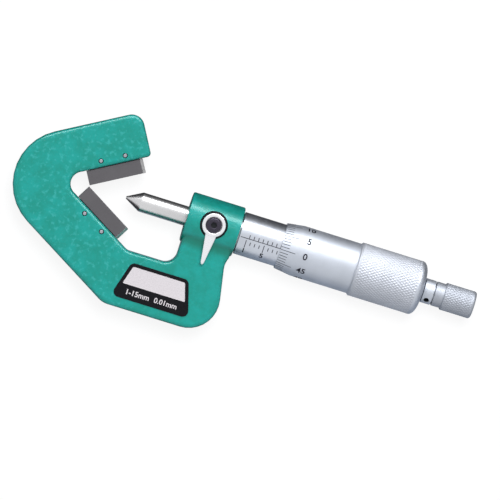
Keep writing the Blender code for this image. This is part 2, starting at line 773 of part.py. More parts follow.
def ratchet_disc():
    """Sliding toothed disc, keyed to the knob at two places."""
    outer = CROWN_OUTER - SEAT
    back = DISC_TIP + TOOTH_HEIGHT
    disc = turned("ratchet_disc", [
        (back, RATCHET_BORE),
        (back, outer),
        (DISC_END, outer),
        (DISC_END, RATCHET_BORE),
    ], segments=MIDDLE_SEGMENTS, hollow=True)
    teeth = crown("teeth", back + TOOTH_ROOT, back, DISC_TIP, CROWN_INNER, outer - SEAT)
    join(disc, teeth)
    half = DISC_KEY_WIDTH / 2
    for side in (-1, 1):
        faces = sorted((side * (outer - KEY_ROOT), side * (outer + DISC_KEY_REACH)))
        join(disc, block("key", (back + SEAT, faces[0], -half), (DISC_END - SEAT, faces[1], half)))
    return disc


def ratchet_knob():
    """Finger knob: smooth collar, grip, toothed-disc bore with two keyways, and a sunk end."""
    grip_start = KNOB_START + KNOB_COLLAR
    hole = RATCHET_SCREW_RADIUS + RUN
    sink = RATCHET_SCREW_RADIUS + SCREW_HEAD_OVERLAP + RUN
    profile = [
        (KNOB_START, KNOB_BORE),
        (KNOB_START, NECK_RADIUS),
        (grip_start, NECK_RADIUS),
        (grip_start, KNOB_RADIUS),
    ]
    profile += dome(KNOB_END - KNOB_ROUND, KNOB_END, KNOB_RADIUS - KNOB_ROUND, KNOB_RADIUS)
    profile += [
        (KNOB_END, sink),
        (KNOB_FLOOR, sink),
        (KNOB_FLOOR, hole),
        (KNOB_WEB_START, hole),
        (KNOB_WEB_START, KNOB_BORE),
    ]
    knob = turned("ratchet_knob", profile, segments=MIDDLE_SEGMENTS, hollow=True)
    half = DISC_KEY_WIDTH / 2 + SEAT
    reach = CROWN_OUTER - SEAT + DISC_KEY_REACH + SEAT
    for side in (-1, 1):
        faces = sorted((side * (KNOB_BORE - KEY_ROOT), side * reach))
        low = (KNOB_START - CUT_MARGIN, faces[0], -half)
        cut(knob, block("keyway", low, (DISC_END + SEAT, faces[1], half)))
    return knob


def ratchet_spring():
    """Compression spring that holds the toothed disc against the neck's crown."""
    wire = SPRING_WIRE_RADIUS
    radius = (CROWN_INNER + CROWN_OUTER) / 2
    start = DISC_END + RUN + wire
    end = KNOB_WEB_START - RUN - wire
    count = SPRING_TURNS * SPRING_POINTS
    curve = bpy.data.curves.new("ratchet_spring", "CURVE")
    curve.dimensions = "3D"
    curve.bevel_depth = wire
    curve.bevel_resolution = 1
    curve.use_fill_caps = True
    spline = curve.splines.new("POLY")
    spline.points.add(count)
    for i, point in enumerate(spline.points):
        angle = 2 * math.pi * i / SPRING_POINTS
        share = i / count
        x = start + (end - start) * share
        point.co = (x, radius * math.cos(angle), radius * math.sin(angle), 1)
    spring = bpy.data.objects.new("ratchet_spring", curve)
    bpy.context.scene.collection.objects.link(spring)
    return spring


def ratchet_screw():
    """Shoulder screw that keeps the knob on, threaded into the ratchet's base."""
    shank_start = NECK_START - RATCHET_STUD_RADIUS + RUN
    head_start = KNOB_FLOOR + SEAT
    head_end = head_start + SCREW_HEAD_LENGTH
    head_radius = RATCHET_SCREW_RADIUS + SCREW_HEAD_OVERLAP
    screw = turned("ratchet_screw", [
        (shank_start, 0),
        (shank_start, RATCHET_SCREW_RADIUS),
        (head_start, RATCHET_SCREW_RADIUS),
        (head_start, head_radius),
        (head_end, head_radius),
        (head_end, 0),
    ], segments=SMALL_SEGMENTS)
    half = SCREW_SLOT / 2
    reach = head_radius + CUT_MARGIN
    low = (head_end - SCREW_SLOT, -half, -reach)
    return cut(screw, block("slot", low, (head_end + CUT_MARGIN, half, reach)))


def hexagon(name, half_width, low, high):
    """Six-sided bar along Z, given half its width across flats."""
    outline = [
        Vector((math.cos(a), math.sin(a))) * half_width / math.cos(math.pi / 6)
        for a in (math.pi / 3 * i for i in range(6))
    ]
    return slab(name, outline, low, high)


def lock_pad():
    """Clamp pad with a hollow foot that fits the spindle."""
    radius = LOCK_STUD_RADIUS
    foot = BORE_RADIUS - LOCK_PAD_DROP
    pad = rod("lock_pad", radius, (0, 0, foot), (0, 0, PAD_TOP))
    reach = radius + CUT_MARGIN
    return cut(pad, rod("saddle", BORE_RADIUS, (-reach, 0, 0), (reach, 0, 0), TURN_SEGMENTS))


def lock_stud():
    """Clamp screw with a hexagon that turns with the lever, and a tapped hole for its fixing."""
    stud = rod("lock_stud", LOCK_STUD_RADIUS, (0, 0, PAD_TOP + RUN), (0, 0, LEVER_BOTTOM))
    join(stud, hexagon("drive", LOCK_HEX, LEVER_BOTTOM - RUN, LOCK_HEX_TOP))
    hole = LOCK_SHANK_RADIUS + SEAT
    ends = [(0, 0, PAD_TOP + 2 * RUN), (0, 0, LOCK_HEX_TOP + CUT_MARGIN)]
    return cut(stud, rod("tapped_hole", hole, *ends, segments=TINY_SEGMENTS))


def lever_tail():
    """Cranked finger of the lock lever, narrowing towards its rounded tip."""
    root = LOCK_SCREW_RADIUS + 2 * RUN
    top = LEVER_TOP - SEAT
    round_start = 1 - LEVER_FLAT_SHARE
    loops = []
    for share in LEVER_STATIONS:
        y = -(root + (LEVER_REACH - root) * share)
        width = LEVER_ROOT_WIDTH + (LEVER_TIP_WIDTH - LEVER_ROOT_WIDTH) * share
        closing = max(0.0, (share - round_start) / LEVER_FLAT_SHARE)
        half = width / 2 * math.sqrt(1 - closing ** 2)
        drop = LEVER_DROOP * max(0.0, share - LEVER_FLAT_SHARE) / round_start
        edge = min(LEVER_EDGE, half / 2)
        high = top - drop
        low = high - LEVER_THICKNESS
        loops.append([
            (-half, y, low),
            (half, y, low),
            (half, y, high - edge),
            (half - edge, y, high),
            (edge - half, y, high),
            (-half, y, high - edge),
        ])
    return loft("lever_tail", loops)


def lock_lever():
    """Clamp lever: a ring on the stud's hexagon, and a finger that points down in the rest pose."""
    radius = LEVER_HUB_RADIUS
    chamfer = LEVER_HUB_CHAMFER
    lever = upright(turned("lock_lever", [
        (LEVER_BOTTOM, 0),
        (LEVER_BOTTOM, radius),
        (LEVER_TOP - chamfer, radius),
        (LEVER_TOP, radius - chamfer),
        (LEVER_TOP, 0),
    ]))
    join(lever, lever_tail())
    well = LOCK_SCREW_RADIUS + SEAT
    cut(lever, rod("well", well, (0, 0, SCREW_SEAT), (0, 0, LEVER_TOP + CUT_MARGIN), MIDDLE_SEGMENTS))
    return cut(lever, hexagon("drive", LOCK_HEX + SEAT, LEVER_BOTTOM - CUT_MARGIN, LEVER_TOP))


def lock_screw():
    """Dark domed screw with a hexagon socket that holds the lever on its stud."""
    rim = LOCK_HEAD_BASE + LOCK_SCREW_LIP
    shank_end = PAD_TOP + 3 * RUN
    profile = [
        (shank_end, 0),
        (shank_end, LOCK_SHANK_RADIUS),
        (LOCK_HEAD_BASE, LOCK_SHANK_RADIUS),
        (LOCK_HEAD_BASE, LOCK_SCREW_RADIUS),
    ]
    profile += dome(rim, rim + LOCK_SCREW_CROWN, 0, LOCK_SCREW_RADIUS)
    screw = upright(turned("lock_screw", profile, segments=MIDDLE_SEGMENTS))
    top = rim + LOCK_SCREW_CROWN
    return cut(screw, hexagon("socket", LOCK_SOCKET, top - LOCK_SOCKET_DEPTH, top + CUT_MARGIN))


def finish(piece, name, colour, roughness, metallic):
    """Give a piece its material, shared with others of the same finish, and smooth its round faces."""
    material = bpy.data.materials.get(name) or bpy.data.materials.new(name)
    material.use_nodes = True
    shader = material.node_tree.nodes["Principled BSDF"]
    shader.inputs["Base Color"].default_value = (*colour, 1.0)
    shader.inputs["Roughness"].default_value = roughness
    shader.inputs["Metallic"].default_value = metallic
    piece.data.materials.clear()
    piece.data.materials.append(material)
    if piece.type == "MESH":
        piece.data.shade_smooth()
        piece.data.set_sharp_from_angle(angle=SHARP_ANGLE)


def green_paint(piece):
    """Hammer-finish enamel of the casting."""
    finish(piece, "green_paint", (0.013, 0.33, 0.27), 0.4, 0.0)


def ground_steel(piece):
    """Bright ground steel."""
    finish(piece, "ground_steel", (0.66, 0.66, 0.68), 0.25, 1.0)


def satin_chrome(piece):
    """Matt chrome of the scales and the grips."""
    finish(piece, "satin_chrome", (0.70, 0.71, 0.75), 0.35, 1.0)


def dark_steel(piece):
    """Hardened dark steel of the anvils."""
    finish(piece, "dark_steel", (0.13, 0.12, 0.13), 0.45, 0.6)


def black_oxide(piece):
    """Blackened screw."""
    finish(piece, "black_oxide", (0.015, 0.014, 0.017), 0.4, 0.3)


def label_print(piece):
    """Black ground of the range plate."""
    finish(piece, "label_print", (0.012, 0.011, 0.014), 0.5, 0.0)


def empty(name, place, parent):
    """Empty that carries a group of pieces."""
    holder = bpy.data.objects.new(name, None)
    holder.location = place
    holder.parent = parent
    bpy.context.scene.collection.objects.link(holder)
    return holder


def main():
    """Build every piece and place it so that the model stands centred on the floor."""
    clear_scene()
    left = meet(
        on_jaw(1, 0, SEAT_OFFSET + UPPER_ARM_DEPTH),
        jaw_direction(1),
        on_jaw(-1, 0, SEAT_OFFSET + LOWER_ARM_DEPTH),
        jaw_direction(-1),
    ).x + BACK_ROUND / math.sin(V_HALF_ANGLE) - BACK_ROUND
    right = tip_place(READING) + KNOB_END
    crown_corner = on_jaw(1, JAW_LENGTH, SEAT_OFFSET + UPPER_ARM_DEPTH)
    pull = math.sin(V_HALF_ANGLE) + math.cos(V_HALF_ANGLE) - 1
    high = crown_corner.y - CROWN_ROUND * pull
    lowest = max(GRIP_RADIUS, BOSS_RADIUS, HALF_PLATE)
    root = empty("micrometer", (-(left + right) / 2, -(high + BOTTOM_Y) / 2, lowest), None)
    feed = empty("spindle_feed", (tip_place(READING), 0, 0), root)
    lock = empty("lock_axis", (LOCK_X, 0, 0), root)
    frame_pieces = [
        (frame_casting(), green_paint),
        (anvil("upper_anvil", 1), dark_steel),
        (anvil("lower_anvil", -1), dark_steel),
        (range_plate(), label_print),
        (inner_sleeve(), ground_steel),
        (outer_sleeve(), satin_chrome),
        (adjusting_nut(), ground_steel),
    ]
    for label, side in (("upper", 1), ("lower", -1)):
        for i, place in enumerate(anvil_pin_places(side), start=1):
            frame_pieces.append((anvil_pin(f"{label}_anvil_pin_{i}", place), ground_steel))
    feed_pieces = [
        (spindle(), ground_steel),
        (thimble(), satin_chrome),
        (ratchet_base(), satin_chrome),
        (ratchet_disc(), ground_steel),
        (ratchet_spring(), ground_steel),
        (ratchet_knob(), satin_chrome),
        (ratchet_screw(), ground_steel),
    ]
    lock_pieces = [
        (lock_pad(), ground_steel),
        (lock_stud(), ground_steel),
        (lock_lever(), satin_chrome),
        (lock_screw(), black_oxide),
    ]
    for holder, pieces in ((root, frame_pieces), (feed, feed_pieces), (lock, lock_pieces)):
        for piece, dress in pieces:
            dress(piece)
            piece.parent = holder


main()
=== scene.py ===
"""Looks of a v-anvil micrometer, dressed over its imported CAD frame.

Shapes are worked out in millimetres, in the frame's axes: X along the spindle towards the ratchet,
Y towards the upper jaw, Z up. Turned pieces are profiles spun about the spindle's axis, flat pieces
are outlines carried through a rounded edge, and scales are thin bands laid on their drums.
"""

import json
import logging
import math
from dataclasses import dataclass
from enum import Enum
from functools import cached_property

import bmesh
import bpy
import numpy as np
from mathutils import Matrix, Vector

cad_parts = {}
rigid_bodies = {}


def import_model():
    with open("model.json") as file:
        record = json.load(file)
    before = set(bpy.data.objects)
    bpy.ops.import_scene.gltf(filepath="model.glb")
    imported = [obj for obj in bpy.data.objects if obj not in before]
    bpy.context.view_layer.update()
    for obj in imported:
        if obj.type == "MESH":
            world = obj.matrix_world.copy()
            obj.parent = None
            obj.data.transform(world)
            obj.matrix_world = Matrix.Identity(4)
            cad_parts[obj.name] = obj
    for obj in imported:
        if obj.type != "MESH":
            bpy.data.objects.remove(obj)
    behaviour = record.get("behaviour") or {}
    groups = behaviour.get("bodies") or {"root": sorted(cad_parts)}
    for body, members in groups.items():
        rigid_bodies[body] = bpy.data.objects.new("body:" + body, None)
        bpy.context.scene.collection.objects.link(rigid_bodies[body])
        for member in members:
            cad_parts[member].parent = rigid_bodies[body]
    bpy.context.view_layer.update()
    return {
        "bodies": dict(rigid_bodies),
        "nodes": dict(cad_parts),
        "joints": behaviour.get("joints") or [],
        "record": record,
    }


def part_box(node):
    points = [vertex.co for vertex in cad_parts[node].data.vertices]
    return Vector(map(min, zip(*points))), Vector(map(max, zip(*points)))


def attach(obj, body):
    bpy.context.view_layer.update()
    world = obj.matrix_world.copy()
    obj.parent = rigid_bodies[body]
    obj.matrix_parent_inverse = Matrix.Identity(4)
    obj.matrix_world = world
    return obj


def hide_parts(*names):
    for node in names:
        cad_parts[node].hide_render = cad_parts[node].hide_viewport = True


LOG = logging.getLogger("micrometer")
MM = 0.001
WELD = 5e-7
SHARP = 35.0
DRILL_OVER = 1.0
DRILL_COLUMNS = 32
V_HALF_ANGLE = math.radians(30.0)
READING_LINE = math.radians(-7.44)
FIGURE_CUTS = np.linspace(-0.2, 1.0, 18)
FLAT_WEIGHT = 80
TINY = 1e-9
SAME_PLACE = 1e-6
CORNER_LIMITS = (1e-3, math.pi / 2 - 1e-4)
Array = np.ndarray
Colour = tuple[float, float, float]
Range = tuple[float, float]
Numbers = tuple[float, ...]
Material = bpy.types.Material
Piece = bpy.types.Object
Socket = bpy.types.NodeSocket


# Shape tools


def box_of(node: str) -> tuple[Array, Array]:
    """Lowest and highest corner of a CAD node, in millimetres."""
    low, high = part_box(node)
    return np.array(low) / MM, np.array(high) / MM


def full_turn(count: int) -> Array:
    """Even angles round a circle, without the last one that meets the first."""
    return np.linspace(0, 2 * math.pi, count, endpoint=False)


def wave(turns: Array) -> Array:
    """Triangle wave: 0 at whole numbers, 1 halfway between them."""
    return 1 - np.abs(2 * (turns - np.floor(turns)) - 1)


def filleted(corners: list[Range], radii: Numbers, steps: int = 5) -> Array:
    """Closed outline whose corners are replaced by arcs that touch both sides.

    With a and b the unit directions from a corner to its neighbours and h half the angle between
    them, the arc's centre is the corner plus r / sin h along the bisector of a and b. Its points
    turn from the first touching point to the last at an even rate about that centre.

    Args:
        corners: the outline's corners in order.
        radii: one arc radius for each corner, 0 for a sharp one.
        steps: spans in each arc.

    Returns:
        Array of points, steps + 1 for each corner.
    """
    point = np.array(corners, float)
    radius = np.array(radii, float)[:, None]
    before = np.roll(point, 1, 0) - point
    after = np.roll(point, -1, 0) - point
    before /= np.linalg.norm(before, axis=1, keepdims=True)
    after /= np.linalg.norm(after, axis=1, keepdims=True)
    half = np.arccos(np.clip((before * after).sum(1, keepdims=True), -1, 1)) / 2
    half = np.clip(half, *CORNER_LIMITS)
    middle = before + after
    middle /= np.maximum(np.linalg.norm(middle, axis=1, keepdims=True), TINY)
    centre = point + middle * radius / np.sin(half)
    first = point + before * radius / np.tan(half) - centre
    last = point + after * radius / np.tan(half) - centre
    sweep = (math.pi - 2 * half)[:, None, :]
    share = np.linspace(0, 1, steps + 1)[None, :, None]
    turned = first[:, None, :] * np.sin((1 - share) * sweep)
    turned += last[:, None, :] * np.sin(share * sweep)
    return (centre[:, None, :] + turned / np.sin(sweep)).reshape(-1, 2)


class Surface:
    """Points and faces gathered from numpy grids, in millimetres, and made into one mesh."""

    def __init__(self) -> None:
        """Start with nothing gathered."""
        self.points: list[Array] = []
        self.faces: list[list[int]] = []
        self.count = 0

    def add(self, points: Array, *groups: Array) -> "Surface":
        """Gather points and the faces that join them.

        Args:
            points: array of (..., 3) places.
            groups: arrays of (faces, corners) indices into those points.

        Returns:
            The surface itself.
        """
        places = points.reshape(-1, 3)
        self.points.append(places)
        for group in groups:
            self.faces += (group + self.count).tolist()
        self.count += len(places)
        return self

    def grid(self, points: Array, wrap_rows: bool = False, wrap_columns: bool = True) -> "Surface":
        """Gather a grid of places, four-sided faces between neighbours.

        Args:
            points: array of (rows, columns, 3) places.
            wrap_rows: join the last row to the first.
            wrap_columns: join the last column to the first.

        Returns:
            The surface itself.
        """
        rows, columns = points.shape[:2]
        row, column = np.meshgrid(
            np.arange(rows if wrap_rows else rows - 1),
            np.arange(columns if wrap_columns else columns - 1),
            indexing="ij",
        )
        row, column = row.ravel(), column.ravel()
        below, beside = (row + 1) % rows, (column + 1) % columns
        return self.add(points, np.stack([
            row * columns + column, row * columns + beside,
            below * columns + beside, below * columns + column,
        ], axis=1))

    def bars(self, points: Array) -> "Surface":
        """Gather many closed bars, each a row of rings with a flat cap at both ends.

        Args:
            points: array of (bars, rings, corners, 3) places.

        Returns:
            The surface itself.
        """
        bars, rings, corners = points.shape[:3]
        start = np.arange(bars)[:, None, None] * rings * corners
        base = start + np.arange(rings - 1)[None, :, None] * corners
        corner = np.arange(corners)[None, None, :]
        after = (corner + 1) % corners
        sides = np.stack([
            base + corner, base + after, base + corners + after, base + corners + corner,
        ], axis=-1).reshape(-1, 4)
        first = start[:, 0] + np.arange(corners)[None, :]
        return self.add(points, sides, first[:, ::-1], first + (rings - 1) * corners)

    def piece(self, name: str, *finishes: "Finish", sharp: float = SHARP) -> Piece:
        """Make the object: doubles merged, faces pointing out, round faces smooth.

        Args:
            name: the object's name.
            finishes: one finish for each material slot.
            sharp: angle in degrees above which an edge stays sharp.

        Returns:
            The object, linked to the scene, with its place in its mesh.
        """
        mesh = bpy.data.meshes.new(name)
        mesh.from_pydata((np.concatenate(self.points) * MM).tolist(), [], self.faces)
        for finish in finishes:
            mesh.materials.append(finish.material)
        made = bpy.data.objects.new(name, mesh)
        bpy.context.scene.collection.objects.link(made)
        clean(made, sharp)
        return made


def clean(piece: Piece, sharp: float) -> None:
    """Merge doubles, point faces outwards and smooth the round faces of a new piece."""
    mesh = piece.data
    work = bmesh.new()
    work.from_mesh(mesh)
    bmesh.ops.remove_doubles(work, verts=work.verts, dist=WELD)
    bmesh.ops.dissolve_degenerate(work, edges=work.edges, dist=WELD)
    bmesh.ops.recalc_face_normals(work, faces=work.faces)
    work.to_mesh(mesh)
    work.free()
    mesh.shade_smooth()
    mesh.set_sharp_from_angle(angle=math.radians(sharp))


def weighted(piece: Piece) -> None:
    """Let large flat faces keep their flatness beside rounded edges."""
    step = piece.modifiers.new("flat_faces", "WEIGHTED_NORMAL")
    step.keep_sharp = True
    step.weight = FLAT_WEIGHT


def evaluated(piece: Piece) -> bpy.types.Mesh:
    """New mesh of an object as its modifiers or its type leave it."""
    bpy.context.view_layer.update()
    graph = bpy.context.evaluated_depsgraph_get()
    return bpy.data.meshes.new_from_object(piece.evaluated_get(graph))


def combined(piece: Piece, tool: Piece, operation: str, sharp: float = SHARP) -> None:
    """Cut a tool out of a piece, or unite the two, and use the tool up.

    Args:
        piece: the piece that stays.
        tool: the solid that is used up.
        operation: DIFFERENCE or UNION.
        sharp: angle in degrees above which an edge stays sharp.
    """
    step = piece.modifiers.new("combine", "BOOLEAN")
    step.operation = operation
    step.solver = "EXACT"
    step.material_mode = "TRANSFER"
    step.object = tool
    result = evaluated(piece)
    piece.modifiers.clear()
    piece.data = result
    bpy.data.objects.remove(tool, do_unlink=True)
    clean(piece, sharp)


def read(items: bpy.types.bpy_prop_collection, key: str, kind: type = np.float32,
         width: int = 3) -> Array:
    """An attribute of a mesh's parts, width numbers for each part, in rows of three."""
    values = np.empty(len(items) * width, kind)
    items.foreach_get(key, values)
    return values.reshape(-1, 3)


def refinish(piece: Piece, chosen: Array) -> None:
    """Give the chosen faces the piece's second finish and the others its first."""
    piece.data.polygons.foreach_set("material_index", chosen.astype(np.int32))


@dataclass(frozen=True)
class Axis:
    """Line that turned pieces are spun about: parallel to X through (y, z)."""

    y: float
    z: float

    def ring(self, x: Array, radius: Array, angle: Array) -> Array:
        """Places at a distance along the axis, a radius, and an angle from up towards +Y."""
        x, radius, angle = np.broadcast_arrays(x, radius, angle)
        return np.stack([
            x, self.y + radius * np.sin(angle), self.z + radius * np.cos(angle)
        ], axis=-1)

    def spun(self, profile: Array, columns: int) -> Array:
        """Grid of an (x, radius) profile spun about the axis."""
        return self.ring(profile[:, :1], profile[:, 1:], full_turn(columns)[None, :])

    def drill(self, piece: Piece, x: float, angle: float, surface: float, hole: float,
              depth: float) -> None:
        """Drill a round hole into a turned piece, square to the axis.

        Args:
            piece: the piece to drill.
            x: the hole's place along the axis.
            angle: its angle from up towards +Y.
            surface: the piece's radius there.
            hole: the hole's radius.
            depth: its depth below the surface.
        """
        turn = full_turn(DRILL_COLUMNS)[None, :]
        inner, outer = surface - depth, surface + DRILL_OVER
        along = np.array([inner, inner, outer, outer])[:, None, None]
        width = np.array([0, hole, hole, 0])[:, None]
        out = np.array([0, math.sin(angle), math.cos(angle)])
        across = np.cross(out, [1, 0, 0])
        places = np.array([x, self.y, self.z]) + along * out
        places = places + (width * np.cos(turn))[..., None] * np.array([1.0, 0, 0])
        places = places + (width * np.sin(turn))[..., None] * across
        # the tool's near-black finish passes to the hole's walls: painted shade in the hole
        combined(piece, Surface().grid(places).piece("drill", Finish.SHADE), "DIFFERENCE")


def upright(profile: Array, x: float, y: float, columns: int) -> Array:
    """Grid of a (height, radius) profile spun about a vertical line through (x, y)."""
    angle = full_turn(columns)[None, :]
    return np.stack(np.broadcast_arrays(
        x + profile[:, 1:] * np.cos(angle), y + profile[:, 1:] * np.sin(angle), profile[:, :1]
    ), axis=-1)


def offset_outline(outline: Array, inset: Array) -> Array:
    """Copies of a closed plane outline moved inwards, one for each inset.

    Each point moves along the sum of its two sides' inward normals, divided by one plus the
    cosine between them, so that the sides move by the inset.

    Args:
        outline: (n, 2) points, anticlockwise.
        inset: (m,) distances.

    Returns:
        Array of (m, n, 2) points.
    """
    side = np.roll(outline, -1, 0) - outline
    side = side / np.maximum(np.linalg.norm(side, axis=1, keepdims=True), TINY)
    normal = np.stack([-side[:, 1], side[:, 0]], axis=1)
    before = np.roll(normal, 1, 0)
    bisector = (normal + before) / (1 + (normal * before).sum(1, keepdims=True))
    return outline[None] + bisector[None] * inset[:, None, None]


def distinct(outline: Array) -> Array:
    """Outline without points that repeat their neighbour."""
    gap = np.linalg.norm(outline - np.roll(outline, 1, 0), axis=1)
    return outline[gap > SAME_PLACE]


def rounded_slab(outline: Array, low: float, high: float, edge: float, steps: int = 3) -> Array:
    """Rings of a flat piece whose two rims are quarter rounds.

    The inset of a ring is edge * (1 - cos a) and its depth from the face edge * (1 - sin a), as a
    turns from 0 on the side to 90 degrees on the face. The last ring of each face is its cap's rim.

    Args:
        outline: (n, 2) points, anticlockwise.
        low: height of the lower face.
        high: height of the upper face.
        edge: radius of the rounded rims.
        steps: spans in each rim.

    Returns:
        Array of (2 * steps + 2, n, 3) points: lower rim, side, upper rim.
    """
    angle = np.linspace(math.pi / 2, 0, steps + 1)
    inset = edge * (1 - np.cos(angle))
    depth = edge * (1 - np.sin(angle))
    heights = np.concatenate([low + depth, high - depth[::-1]])[:, None, None]
    rings = offset_outline(distinct(outline), np.concatenate([inset, inset[::-1]]))
    return np.concatenate([rings, np.broadcast_to(heights, (*rings.shape[:2], 1))], axis=2)


def lettering(text: str, height: float, depth: float, bold: float = 0.02) -> tuple[Array, Array]:
    """Plain characters as a closed flat solid, centred on the origin, cut in bands that can bend.

    Args:
        text: what is printed.
        height: height of a figure.
        depth: thickness of the print.
        bold: how far strokes are thickened, as a share of the type size.

    Returns:
        Points (n, 3) in millimetres and triangles (m, 3).
    """
    curve = bpy.data.curves.new("lettering", "FONT")
    curve.body = text
    curve.size = 1.0
    curve.extrude = 0.5
    curve.offset = bold
    curve.resolution_u = 3
    holder = bpy.data.objects.new("lettering", curve)
    bpy.context.scene.collection.objects.link(holder)
    mesh = evaluated(holder)
    work = bmesh.new()
    work.from_mesh(mesh)
    for place in FIGURE_CUTS:
        bmesh.ops.bisect_plane(work, geom=work.verts[:] + work.edges[:] + work.faces[:],
                               plane_co=(0, place, 0), plane_no=(0, 1, 0))
    work.to_mesh(mesh)
    work.free()
    mesh.calc_loop_triangles()
    points = read(mesh.vertices, "co").astype(float)
    triangles = read(mesh.loop_triangles, "vertices", np.int32)
    bpy.data.objects.remove(holder, do_unlink=True)
    low, high = points.min(0), points.max(0)
    points -= (low + high) / 2
    points[:, :2] *= height / (high[1] - low[1])
    points[:, 2] *= depth
    return points, triangles


# Finishes


class Nodes:
    """A new material or world, with short calls that add its nodes and join them."""

    def __init__(self, name: str, world: bool = False) -> None:
        """Make the material or world, and keep its main shader and its coordinates."""
        self.made = (bpy.data.worlds if world else bpy.data.materials).new(name)
        self.made.use_nodes = True
        self.tree = self.made.node_tree
        self.shader = self.tree.nodes["Background" if world else "Principled BSDF"]
        self.places = self.tree.nodes.new("ShaderNodeTexCoord").outputs
        self.place = self.places["Object"]

    def add(self, kind: str, inputs: dict | None = None, **settings: object) -> bpy.types.Node:
        """Add a node.

        Args:
            kind: the node's type.
            inputs: values or sockets for its inputs, by name or number.
            settings: its properties.

        Returns:
            The node.
        """
        node = self.tree.nodes.new(kind)
        for key, value in settings.items():
            setattr(node, key, value)
        for key, value in (inputs or {}).items():
            self.set(node.inputs[key], value)
        return node

    def set(self, socket: Socket, value: object) -> None:
        """Give a socket a number or colour, or join another socket to it."""
        if isinstance(value, bpy.types.NodeSocket):
            self.tree.links.new(value, socket)
        elif socket.type == "RGBA":
            socket.default_value = (*value, 1.0)
        else:
            socket.default_value = value

    def noise(self, scale: float, detail: float = 2.0, roughness: float = 0.5,
              place: Socket | None = None) -> Socket:
        """Cloudy noise, about one blotch for each 1 / scale metres."""
        return self.add("ShaderNodeTexNoise", {
            "Vector": place or self.place, "Scale": scale, "Detail": detail,
            "Roughness": roughness,
        }).outputs["Fac"]

    def spread(self, value: Socket, low: float, high: float, to_low: float = 0.0,
               to_high: float = 1.0) -> Socket:
        """Smoothly map a range of values to another."""
        return self.add("ShaderNodeMapRange", {
            "Value": value, "From Min": low, "From Max": high, "To Min": to_low, "To Max": to_high,
        }, interpolation_type="SMOOTHSTEP").outputs["Result"]

    def math(self, operation: str, first: object, second: object) -> Socket:
        """Result of a sum on two values."""
        return self.add("ShaderNodeMath", {0: first, 1: second}, operation=operation).outputs[0]

    def mix(self, share: object, first: object, second: object) -> Socket:
        """Blend two colours by a share."""
        inputs = {0: share, 6: first, 7: second}
        return self.add("ShaderNodeMix", inputs, data_type="RGBA").outputs[2]

    def bump(self, height: Socket, strength: float, depth: float,
             under: Socket | None = None) -> Socket:
        """Relief of a given depth in metres, over another relief if there is one."""
        inputs: dict[str, object] = {"Height": height, "Strength": strength, "Distance": depth}
        if under is not None:
            inputs["Normal"] = under
        return self.add("ShaderNodeBump", inputs).outputs["Normal"]

    def seen(self) -> Socket:
        """1 for what the camera sees, in mirrors and through glass too, and 0 for other light."""
        rays = self.add("ShaderNodeLightPath").outputs
        either = self.math("MAXIMUM", rays["Is Camera Ray"], rays["Is Glossy Ray"])
        return self.math("MAXIMUM", either, rays["Is Transmission Ray"])

    def finish(self, **values: object) -> Material:
        """Set the shader's inputs, named with _ for a space, and give the material back."""
        for key, value in values.items():
            self.set(self.shader.inputs[key.replace("_", " ")], value)
        return self.made


@dataclass(frozen=True)
class HammeredEnamel:
    """Green stoving enamel with a hammered flow pattern over the casting."""

    name: str = "green_hammered_enamel"
    deep: Colour = (0.001, 0.31, 0.245)
    body: Colour = (0.004, 0.385, 0.335)
    fleck: Colour = (0.06, 0.56, 0.54)
    # painted shade: a darker green laid along the lower blend between boss and plate
    painted_shade_colour: Colour = (0.0005, 0.17, 0.11)
    shine: Colour = (0.3, 0.9, 1.0)
    cloud: Numbers = (245.0, 3.0, 0.6)
    cloud_range: Range = (0.3, 0.7)
    grain: Numbers = (700.0, 3.0, 0.55)
    grain_range: Range = (0.3, 0.7)
    fleck_range: Range = (0.52, 0.68)
    specular: float = 0.5
    coat: Range = (0.55, 0.2)
    cell: float = 950.0
    cell_relief: Range = (0.28, 0.00012)
    grain_relief: Range = (0.16, 0.0001)
    roughness: Range = (0.42, 0.52)
    fleck_share: Range = (0.45, 0.06)
    plain_end: Range = (-0.036, -0.017)
    boss_end: Range = (-0.0212, -0.0202)
    painted_shade_rise: Range = (-0.0058, -0.0032)
    painted_shade_fall: Range = (-0.0022, -0.0004)
    painted_shade_strength: float = 0.8

    def painted_shade_share(self, nodes: Nodes, along: Socket, across: Socket) -> Socket:
        """Share of painted shade: a darker green laid along the blend between boss and plate, where
        shade falls below the boss.
        """
        rise = nodes.spread(across, *self.painted_shade_rise)
        fall = nodes.spread(across, *self.painted_shade_fall, self.painted_shade_strength, 0.0)
        band = nodes.math("MULTIPLY", rise, fall)
        return nodes.math("MULTIPLY", band, nodes.spread(along, *self.boss_end))

    def build(self) -> Material:
        """Cloudy green with pale flecks where the hammer pattern rises, under a clear gloss."""
        nodes = Nodes(self.name)
        cloud = nodes.spread(nodes.noise(*self.cloud), *self.cloud_range)
        grain = nodes.noise(*self.grain)
        axes = nodes.add("ShaderNodeSeparateXYZ", {0: nodes.place}).outputs
        share = nodes.spread(axes["X"], *self.plain_end, *self.fleck_share)
        flecks = nodes.math("MULTIPLY", nodes.spread(grain, *self.fleck_range), share)
        base = nodes.mix(flecks, nodes.mix(cloud, self.deep, self.body), self.fleck)
        cells = nodes.add("ShaderNodeTexVoronoi", {
            "Vector": nodes.place, "Scale": self.cell, "Randomness": 1.0,
        }, feature="SMOOTH_F1")
        relief = nodes.bump(cells.outputs["Distance"], *self.cell_relief)
        return nodes.finish(
            # the base colour carries painted shade along the boss's lower blend
            Base_Color=nodes.mix(self.painted_shade_share(nodes, axes["X"], axes["Y"]), base, self.painted_shade_colour),
            Roughness=nodes.spread(grain, *self.grain_range, *self.roughness),
            Specular_IOR_Level=self.specular,
            Specular_Tint=self.shine,
            Normal=nodes.bump(grain, *self.grain_relief, relief),
            Coat_Weight=self.coat[0],
            Coat_Roughness=self.coat[1],
        )


